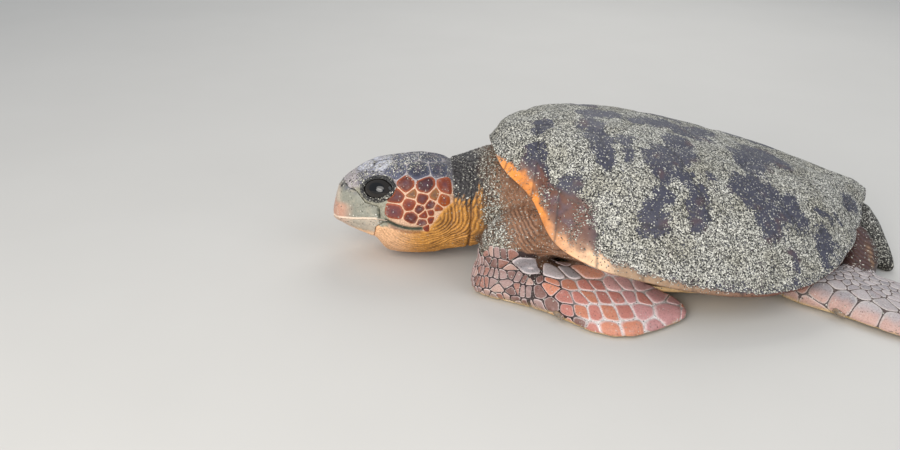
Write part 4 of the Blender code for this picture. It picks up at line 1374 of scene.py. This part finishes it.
def make_plastron():
    """The belly shell with its six pairs of shields, flat where it rests on the floor."""
    columns, rows = 150, 26
    outline = along(PLASTRON, columns)
    shares = 1 - np.linspace(0, 1, rows) ** 1.3
    bridge = np.clip(outline[:, 1] / max(outline[:, 1]), 0, 1) ** 2
    lifted = END_RISE + (1 - END_RISE) * bridge
    rise = PLASTRON_RISE * on_line(shares, PLASTRON_ROWS[::-1]) * lifted[:, None]
    lower = np.zeros((columns, rows, 3))
    lower[:, :, 0] = outline[:, :1] * (MIDDLE_REACH + (1 - MIDDLE_REACH) * shares)
    lower[:, :, 1] = outline[:, 1:2] * shares
    seam = np.min(np.abs(lower[:, :, 0, None] - BELLY_SEAMS), axis=2)
    groove = bell(np.minimum(seam, np.where(lower[:, :, 1] < 0.2, lower[:, :, 1], 1)), 0.0018)
    lower[:, :, 2] = rise + 0.0009 * groove
    upper_rows = [0, 1, 2, 5, 9, 14, 19, rows - 1]
    upper = lower[:, upper_rows].copy()
    wall = PLASTRON_WALL * (1 - EDGE_THINNING * smooth(0.86, 1.0, shares))
    upper[:, :, 2] = rise[:, upper_rows] + wall[upper_rows]
    mask = np.concatenate([groove[:, ::-1], np.zeros(upper.shape[:2])], axis=1)
    seams = np.tile(mask.ravel(), 2)
    obj = new_piece("plastron_shell", *both_halves(np.concatenate([lower[:, ::-1], upper], axis=1)))
    mesh = obj.data
    points = coordinates(mesh)
    warm = TINT["orange_scale"] * 0.4 + TINT["belly"] * 0.6
    colour = blend(0.5 + 0.4 * drift(points, 0.05, 61), TINT["belly"], warm)
    set_colour(mesh, "tint", np.clip(blend(seams, colour, TINT["belly_seam"]), 0, 1))
    set_value(mesh, "sand", np.full(len(points), 0.12))
    set_value(mesh, "seam", seams)
    weld(mesh, 2e-5, 1e-6)
    return obj


# ---- Beak, eyes, claws --------------------------------------------------------------------


MOUTH_LINE = [(-0.740, 0.080), (-0.706, 0.0865), (-0.690, 0.091), (-0.672, 0.0945),
              (-0.650, 0.0995), (-0.625, 0.1035), (-0.603, 0.1035)]


def make_beak(node):
    """A beak half, smoothed, with its cream rim and the nostrils as pits."""
    body, points = smoothed_body(node + "_horn", [node], 0.0006, 0.0014, 8)
    mesh = body.data
    move_to(mesh, points)
    x, y, z = points[:, 0], np.abs(points[:, 1]), points[:, 2]
    upper = node == "beak_upper"
    over_mouth = z - on_line(x, MOUTH_LINE)
    pit = bell(np.hypot(np.hypot(x + 0.6935, y - 0.013), z - 0.1545), 0.0056) * upper
    rim = bell(over_mouth - 0.0045, 0.0012) * upper
    depth = -0.0040 * pit - 0.0004 * rim + 0.0003 * drift(points, 0.008, 71)
    points = points + vertex_normals(mesh) * depth[:, None]
    move_to(mesh, points)
    fine = drift(points, 0.006, 72)
    soft = drift(points, 0.016, 73)
    colour = np.tile(TINT["horn_green"], (len(points), 1)) * (0.92 + 0.1 * soft[:, None])
    tip = smooth(-0.668, -0.692, x + 0.004 * soft)
    corner = smooth(-0.624, -0.614, x + 0.002 * fine) * smooth(0.083, 0.092, z) * 0.85
    if upper:
        front = smooth(-0.690, -0.702, x) * smooth(0.119, 0.131, z)
        coats = [
            (front * 0.7, TINT["horn_cream"] * 0.8),
            (tip * smooth(0.131, 0.119, z + 0.003 * soft) * 0.8, TINT["horn_pink"]),
            (smooth(0.0058, 0.0036, over_mouth), TINT["horn_cream"]),
            (0.75 * smooth(0.144, 0.158, z + 0.003 * fine + 0.002 * soft),
             blend(0.5 + 0.5 * fine, TINT["horn_dusk"], TINT["slate"])),
            # The nostril pits are painted near-black as shade.
            (smooth(0.25, 0.6, pit), TINT["elbow_gap"] * 0.3),
            # The upper beak's rear end, where it meets the skin, is painted dark as shade.
            (smooth(-0.626, -0.6215, x) * smooth(0.100, 0.108, z) * 0.8, TINT["jaw_groove_shade"]),
        ]
    else:
        coats = [
            (tip * 0.5, TINT["horn_pink"]),
            (0.40 + 0.2 * soft, TINT["horn_cream"] * 0.75),
            (smooth(0.078, 0.064, z + 0.002 * fine), TINT["chin"]),
            # The lower beak's rear corner at the gape is painted dark as shade.
            (corner, TINT["jaw_groove_shade"]),
        ]
    for share, tint in coats:
        colour = blend(share, colour, tint)
    set_colour(mesh, "tint", np.clip(colour, 0, 1))
    set_value(mesh, "sand", 0.06 + 0.10 * smooth(0.14, 0.16, z))
    mesh.shade_smooth()
    return body





def eye_place(side):
    """Matrix that takes an upright eye looking along -Y to its place in the head."""
    turn = Matrix.Rotation(side * math.radians(EYE_FORWARD), 4, "Z")
    lift = Matrix.Rotation(side * math.radians(EYE_UPWARD), 4, "X")
    return Matrix.Translation((EYE[0], side * EYE[1], EYE[2])) @ turn @ lift


def make_eye(side, word):
    """The glossy eyeball, domed a little more over the iris, with its pole looking out."""
    segments, rings = 64, 40
    verts, faces = [], []
    for r in range(rings + 1):
        polar = math.pi * r / rings
        bulge = 1 + 0.06 * math.exp(-((polar / 0.55) ** 2))
        for s in range(segments):
            angle = 2 * math.pi * s / segments
            out = side * math.cos(polar) * EYE_RADII[1] * bulge
            across, up = math.sin(polar) * math.cos(angle), math.sin(polar) * math.sin(angle)
            verts.append((across * EYE_RADII[0], out, up * EYE_RADII[2]))
    for r in range(0, rings * segments, segments):
        for s in range(segments):
            t = (s + 1) % segments
            faces.append((r + s, r + t, r + segments + t, r + segments + s))
    obj = new_piece(f"eyeball_{word}", verts, faces, 1e-6, 1e-7)
    x, y, z = (coordinates(obj.data) / EYE_RADII).T
    set_value(obj.data, "polar", np.arctan2(np.hypot(x, z), side * y))
    obj.data.transform(eye_place(side))
    return obj


# Across a lid from the opening outwards: share of the way, millimetres over the line between.
LID_PROFILE = [
    (0.00, 0.4), (0.06, 1.5), (0.18, 2.3), (0.32, 2.0), (0.44, 1.1), (0.56, 1.7), (0.68, 1.9),
    (0.80, 1.1), (0.90, 0.9), (1.00, -0.9), (1.00, -3.0), (0.50, -3.4), (0.08, -2.4),
]


def make_lids(side, word, surface):
    """Thick wrinkled lids round the eye, a closed ring from the eyeball to under the skin."""
    around, rows = 128, len(LID_PROFILE)
    place = eye_place(side)
    back = place.inverted()
    heading = place.to_3x3() @ Vector((0, -side, 0))
    verts, faces, sand = [], [], []
    for i in range(around):
        angle = 2 * math.pi * i / around
        u1, v1 = eye_shape(angle, LID_INNER, 0.55)
        u2, v2 = eye_shape(angle, LID_OUTER, 0.25)
        w1 = float(ball_height(u1, v1))
        found = surface.cast(place @ Vector((u2, side * 0.05, v2)), heading)
        w2 = side * (back @ Vector(found[0])).y
        fold = 0.35 * math.sin(7 * angle + 0.6) + 0.25 * math.sin(17 * angle) + 0.2 * math.sin(31 * angle)
        # Sand lies mostly on the lower lid; the upper lid stays bare and dark, painted shade under the brow.
        low = 0.30 * float(smooth(0.1, -0.7, math.sin(angle)))
        for j, (share, lift) in enumerate(LID_PROFILE):
            wrinkle = fold * math.sin(math.pi * share) * (1 if lift > 0 else 0)
            u, v = u1 + (u2 - u1) * share, v1 + (v2 - v1) * share
            w = w1 + (w2 - w1) * share + (lift + wrinkle) * MM
            verts.append((u, side * w, v))
            sand.append(0.03 + low + 0.10 * share)
            k, m = (i + 1) % around, (j + 1) % rows
            faces.append((i * rows + j, k * rows + j, k * rows + m, i * rows + m))
    obj = new_piece(f"eyelids_{word}", verts, faces)
    set_value(obj.data, "sand", sand)
    obj.data.transform(place)
    obj = modified(obj, "SUBSURF", levels=1)
    # The lids' near-black tint is their dark skin together with painted shade under the brow.
    shade = 0.5 + 0.5 * drift(coordinates(obj.data), 0.003, 81)
    colour = blend(shade, srgb(16, 16, 18), srgb(44, 42, 42))
    set_colour(obj.data, "tint", np.clip(colour, 0, 1))
    obj.data.shade_smooth()
    return obj


def make_claw(node):
    """A claw with a smooth, slightly ridged horn."""
    body = modified(joined_copy(node + "_horn", [node], 0.0), "SUBSURF", levels=2)
    mesh = body.data
    shade = 0.5 + 0.5 * drift(coordinates(mesh), 0.004, 91)
    set_colour(mesh, "tint", blend(shade, TINT["horn_dusk"], TINT["rim_tan"]))
    set_value(mesh, "sand", np.full(len(shade), 0.1))
    mesh.shade_smooth()
    return body


# ---- Finishes -----------------------------------------------------------------------------


class Value:
    """A shader value that takes part in sums: each operator adds one Math node."""

    def __init__(self, finish, socket):
        self.finish, self.socket = finish, socket

    def maths(self, operation, first, second):
        return self.finish.node("Math", {"operation": operation}, {0: first, 1: second})

    def __add__(self, other):
        return self.maths("ADD", self, other)

    def __radd__(self, other):
        return self.maths("ADD", other, self)

    def __sub__(self, other):
        return self.maths("SUBTRACT", self, other)

    def __rsub__(self, other):
        return self.maths("SUBTRACT", other, self)

    def __mul__(self, other):
        return self.maths("MULTIPLY", self, other)

    def __rmul__(self, other):
        return self.maths("MULTIPLY", other, self)


class Finish:
    """A material in the making."""

    def __init__(self, name, **fixed):
        self.material = bpy.data.materials.new(name)
        self.material.use_nodes = True
        self.tree = self.material.node_tree
        self.shader = self.tree.nodes["Principled BSDF"]
        for socket, value in fixed.items():
            self.shader.inputs[socket.replace("_", " ")].default_value = value
        self.place = self.node("TexCoord", {}, {}, "Object")

    def node(self, kind, settings, inputs, out=0):
        node = self.tree.nodes.new("ShaderNode" + kind)
        for name, value in settings.items():
            if name == "stops":
                set_stops(node.color_ramp, value)
            else:
                setattr(node, name, value)
        for name, value in inputs.items():
            if isinstance(value, Value):
                self.tree.links.new(value.socket, node.inputs[name])
            else:
                node.inputs[name].default_value = value
        return Value(self, node.outputs[out])

    def noise(self, size, detail=3.0, roughness=0.55, place=None):
        inputs = {"Vector": place or self.place, "Scale": 1 / size, "Detail": detail, "Roughness": roughness}
        return self.node("TexNoise", {}, inputs)

    def cells(self, size, out="Color", feature="F1"):
        return self.node("TexVoronoi", {"feature": feature}, {"Vector": self.place, "Scale": 1 / size}, out)

    def read(self, name, out="Fac"):
        return self.node("Attribute", {"attribute_name": name}, {}, out)

    def range(self, value, low, high, start=0.0, end=1.0):
        settings = {"interpolation_type": "SMOOTHSTEP"}
        inputs = {"Value": value, "From Min": low, "From Max": high, "To Min": start, "To Max": end}
        return self.node("MapRange", settings, inputs)

    def mix(self, share, first, second, how="MIX"):
        settings = {"data_type": "RGBA", "blend_type": how}
        inputs = {0: share, 6: full(first), 7: full(second)}
        return self.node("Mix", settings, inputs, 2)

    def ramp(self, value, stops):
        return self.node("ValToRGB", {"stops": stops}, {0: value}, "Color")

    def done(self, colour, roughness, height=None, depth=0.001, strength=1.0):
        self.tree.links.new(colour.socket, self.shader.inputs["Base Color"])
        if isinstance(roughness, Value):
            self.tree.links.new(roughness.socket, self.shader.inputs["Roughness"])
        else:
            self.shader.inputs["Roughness"].default_value = roughness
        if height:
            bump = self.node("Bump", {}, {"Height": height, "Distance": depth, "Strength": strength})
            self.tree.links.new(bump.socket, self.shader.inputs["Normal"])
        return self.material

    def done_with_sand(self, colour, roughness, height, depth):
        """Closes the material under the dry sand that the piece's own `sand` values ask for."""
        return self.done(*sanded(self, colour, roughness, height, self.read("sand")), depth)


def full(colour):
    return colour if isinstance(colour, Value) else (*map(float, colour), 1.0)


def set_stops(ramp, stops):
    while len(ramp.elements) < len(stops):
        ramp.elements.new(0.5)
    for element, (place, colour) in zip(ramp.elements, stops):
        element.position = place
        element.color = full(colour)


SAND_GRAIN = 0.0020
SAND_STOPS = [
    (0.00, srgb(30, 30, 29)), (0.20, srgb(72, 72, 69)), (0.45, srgb(130, 128, 121)),
    (0.72, srgb(184, 182, 172)), (1.00, srgb(240, 237, 226)),
]


def sanded(finish, colour, roughness, height, amount):
    """Adds grains of dark, grey and pale sand where `amount` says, by a dice throw for each grain."""
    split = finish.cells(SAND_GRAIN)
    parts = {}
    for axis in ("Red", "Green"):
        parts[axis] = finish.node("SeparateColor", {}, {0: split}, axis)
    patchy = finish.noise(0.022, 4, 0.6)
    chance = amount + (patchy - 0.5) * 0.5 * finish.range(amount, 0.0, 0.4) * finish.range(amount, 1.0, 0.75)
    lies = finish.range(chance - parts["Red"], -0.06, 0.06)
    grain = finish.ramp(parts["Green"], SAND_STOPS)
    broad = finish.noise(0.06, 2)
    grain = finish.mix(finish.range(broad, 0.35, 0.75) * 0.5, grain, srgb(196, 190, 172), "MULTIPLY")
    dots = finish.cells(SAND_GRAIN, "Distance")
    raised = height + lies * (0.9 - dots * 0.9)
    return finish.mix(lies, colour, grain), roughness + lies * (0.93 - roughness), raised


def skin_finish():
    finish = Finish("turtle_skin", Specular_IOR_Level=0.42)
    tint = finish.read("tint", "Color")
    pores = finish.cells(0.0034, "Distance")
    soft = finish.noise(0.012, 4)
    colour = finish.mix(finish.range(pores, 0.25, 0.75) * 0.35, tint, (0.30, 0.24, 0.20), "MULTIPLY")
    colour = finish.mix(finish.range(soft, 0.3, 0.7) * 0.30, colour, (0.62, 0.56, 0.52), "MULTIPLY")
    height = 0.4 - pores * 0.4 + soft * 0.3
    rough = 0.52 + soft * 0.16
    return finish.done_with_sand(colour, rough, height, 0.0011)


def scale_finish(name, gloss):
    finish = Finish(name, Specular_IOR_Level=0.28)
    tint = finish.read("tint", "Color")
    inward = finish.read("inward")
    streak = finish.noise(0.006, 5, 0.6)
    broad = finish.noise(0.02, 3)
    edge = finish.range(inward + (broad - 0.5) * 0.3, 0.34, 0.02)
    colour = finish.mix(edge * 0.65, tint, finish.read("rim", "Color"))
    heart = finish.range(inward + (streak - 0.5) * 0.5, 0.40, 0.95)
    colour = finish.mix(heart * 0.45, colour, (0.085, 0.055, 0.085))
    colour = finish.mix(finish.range(streak, 0.35, 0.7) * 0.4, colour, (0.46, 0.38, 0.38), "MULTIPLY")
    colour = finish.mix(finish.range(broad, 0.5, 0.8) * 0.25, colour, (0.55, 0.42, 0.38))
    height = streak * 0.5 + broad * 0.5
    rough = gloss + streak * 0.25
    return finish.done_with_sand(colour, rough, height, 0.0007)


def flipper_finish():
    finish = Finish("flipper_scales_horn", Specular_IOR_Level=0.45)
    tint = finish.read("tint", "Color")
    inward = finish.read("inward")
    fine = finish.noise(0.0026, 5, 0.65)
    broad = finish.noise(0.014, 3)
    edge = finish.range(inward + (broad - 0.5) * 0.25, 0.20, 0.02)
    colour = finish.mix(edge * 0.6, tint, finish.read("rim", "Color"))
    colour = finish.mix(finish.range(fine, 0.45, 0.7) * 0.45, colour, (0.30, 0.20, 0.20), "MULTIPLY")
    colour = finish.mix(finish.range(broad, 0.5, 0.8) * 0.4, colour, srgb(178, 152, 150))
    height = fine * 0.6 + broad * 0.4
    rough = 0.46 + fine * 0.2
    return finish.done_with_sand(colour, rough, height, 0.0008)


def shell_finish():
    finish = Finish("shell_horn", Specular_IOR_Level=0.45)
    tint = finish.read("tint", "Color")
    seam = finish.read("seam")
    streak = finish.noise(0.010, 5, 0.6)
    colour = finish.mix(finish.range(streak, 0.4, 0.75) * 0.4, tint, (0.34, 0.30, 0.30), "MULTIPLY")
    colour = finish.mix(seam * 0.6, colour, (0.02, 0.018, 0.018))
    height = streak * 0.5
    rough = 0.44 + streak * 0.2
    return finish.done_with_sand(colour, rough, height, 0.0016)


def horn_finish():
    finish = Finish("beak_horn", Specular_IOR_Level=0.5)
    tint = finish.read("tint", "Color")
    fine = finish.noise(0.0024, 5, 0.6)
    broad = finish.noise(0.010, 3)
    colour = finish.mix(finish.range(fine, 0.45, 0.75) * 0.35, tint, (0.40, 0.36, 0.30), "MULTIPLY")
    colour = finish.mix(finish.range(broad, 0.5, 0.8) * 0.3, colour, srgb(222, 206, 180))
    height = fine * 0.6 + broad * 0.4
    return finish.done_with_sand(colour, 0.38 + fine * 0.2, height, 0.0006)


def eye_finish():
    finish = Finish("wet_eye", Specular_IOR_Level=0.35, Coat_Weight=0.25, Coat_Roughness=0.03)
    polar = finish.read("polar")
    streak = finish.noise(0.002, 4)
    iris = finish.range(polar + streak * 0.1, 0.55, 0.62)
    colour = finish.mix(iris, (0.003, 0.003, 0.004), (0.014, 0.011, 0.009))
    white = finish.range(polar, 0.95, 1.15)
    colour = finish.mix(white, colour, (0.007, 0.006, 0.006))
    return finish.done(colour, 0.07)


def lid_finish():
    finish = Finish("wet_lid", Specular_IOR_Level=0.45)
    tint = finish.read("tint", "Color")
    fine = finish.noise(0.0018, 5, 0.65)
    colour = finish.mix(finish.range(fine, 0.60, 0.85) * 0.4, tint, srgb(92, 90, 88))
    return finish.done_with_sand(colour, 0.26 + fine * 0.2, fine * 1.0, 0.0006)


# ---- Assembly -----------------------------------------------------------------------------


def dress(piece, finish, slot, *nodes):
    piece.data.materials.clear()
    piece.data.materials.append(finish)
    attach(piece, "root")
    if nodes:
        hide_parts(*nodes)


FLOOR_REACH = 30
LAMP_AIM = Vector((0, 0, 0.1))
# Each lamp's name, place, power, size and colour.
LAMPS = (
    ("key", (-1.7, -2.5, 2.3), 53, 2.2, (1.0, 0.97, 0.92)),
    ("low", (-2.1, -3.1, 1.2), 68, 2.0, (1.0, 0.97, 0.93)),
    ("fill", (1.8, -1.6, 2.2), 22, 2.4, (0.92, 0.96, 1.0)),
    ("back", (0.4, 2.4, 2.6), 40, 2.4, (1.0, 0.99, 0.96)),
)


def floor_and_light():
    """A plain pale floor, a soft sky and four broad lamps."""
    mesh = bpy.data.meshes.new("floor")
    corners = [(x * FLOOR_REACH, y * FLOOR_REACH, 0) for x, y in ((-1, -1), (1, -1), (1, 1), (-1, 1))]
    mesh.from_pydata(corners, [], [(0, 1, 2, 3)])
    floor = placed("floor", mesh)
    paint = Finish("pale_floor", Specular_IOR_Level=0.2)
    mottle = paint.noise(0.4, 3)
    tone = paint.mix(mottle, srgb(198, 195, 190), srgb(204, 201, 196))
    mesh.materials.append(paint.done(tone, 0.85))
    world = bpy.data.worlds.new("studio")
    world.use_nodes = True
    sky = world.node_tree.nodes["Background"]
    sky.inputs["Color"].default_value = (0.86, 0.92, 1.0, 1)
    sky.inputs["Strength"].default_value = 0.55
    bpy.context.scene.world = world
    for name, place, power, size, tone in LAMPS:
        data = bpy.data.lights.new(name, "AREA")
        data.shape = "DISK"
        data.energy, data.size, data.color = power, size, tone
        lamp = placed(name, data)
        lamp.location = place
        lamp.rotation_euler = (LAMP_AIM - Vector(place)).to_track_quat("-Z", "Y").to_euler()


CAMERA_PLACE = (-0.6065, -1.6971, 0.8550)
CAMERA_YAW = -4.447     # degrees from +Y, turned towards +X
CAMERA_PITCH = 25.10    # degrees down
CAMERA_ROLL = 1.737
LENS = 36.47


def camera():
    data = bpy.data.cameras.new("camera")
    data.lens = LENS
    data.sensor_width = 36
    data.sensor_fit = "HORIZONTAL"
    data.clip_end = 100
    eye = placed("camera", data)
    turn = Matrix.Rotation(math.radians(CAMERA_YAW), 4, "Z")
    turn @= Matrix.Rotation(math.radians(90 - CAMERA_PITCH), 4, "X")
    turn @= Matrix.Rotation(math.radians(CAMERA_ROLL), 4, "Z")
    eye.matrix_world = Matrix.Translation(CAMERA_PLACE) @ turn
    bpy.context.scene.camera = eye


def main():
    bpy.context.scene.view_settings.view_transform = "Standard"
    skin = make_skin()
    surface = Surface(skin)
    head_scales = make_head_scales(surface)
    fins = [make_flipper_scales(surface, side, word) for side, word in SIDES]
    dress(skin, skin_finish(), "skin", *FLESH)
    dress(head_scales, scale_finish("head_scales_horn", 0.44), "head_scales")
    fin_look = flipper_finish()
    for fin in fins:
        dress(fin, fin_look, "flipper_scales")
    shell_look = shell_finish()
    dress(make_carapace(), shell_look, "shell_horn", "carapace")
    dress(make_plastron(), shell_look, "belly_horn", "plastron")
    horn = horn_finish()
    for node in ("beak_upper", "beak_lower"):
        dress(make_beak(node), horn, "beak_horn", node)
    wet, lid = eye_finish(), lid_finish()
    for side, word in SIDES:
        dress(make_eye(side, word), wet, "eye", "eye_" + word)
        dress(make_lids(side, word, surface), lid, "skin")
        for place in ("front", "hind"):
            node = f"claw_{place}_{word}"
            dress(make_claw(node), horn, "claw_horn", node)
    floor_and_light()
    camera()


main()
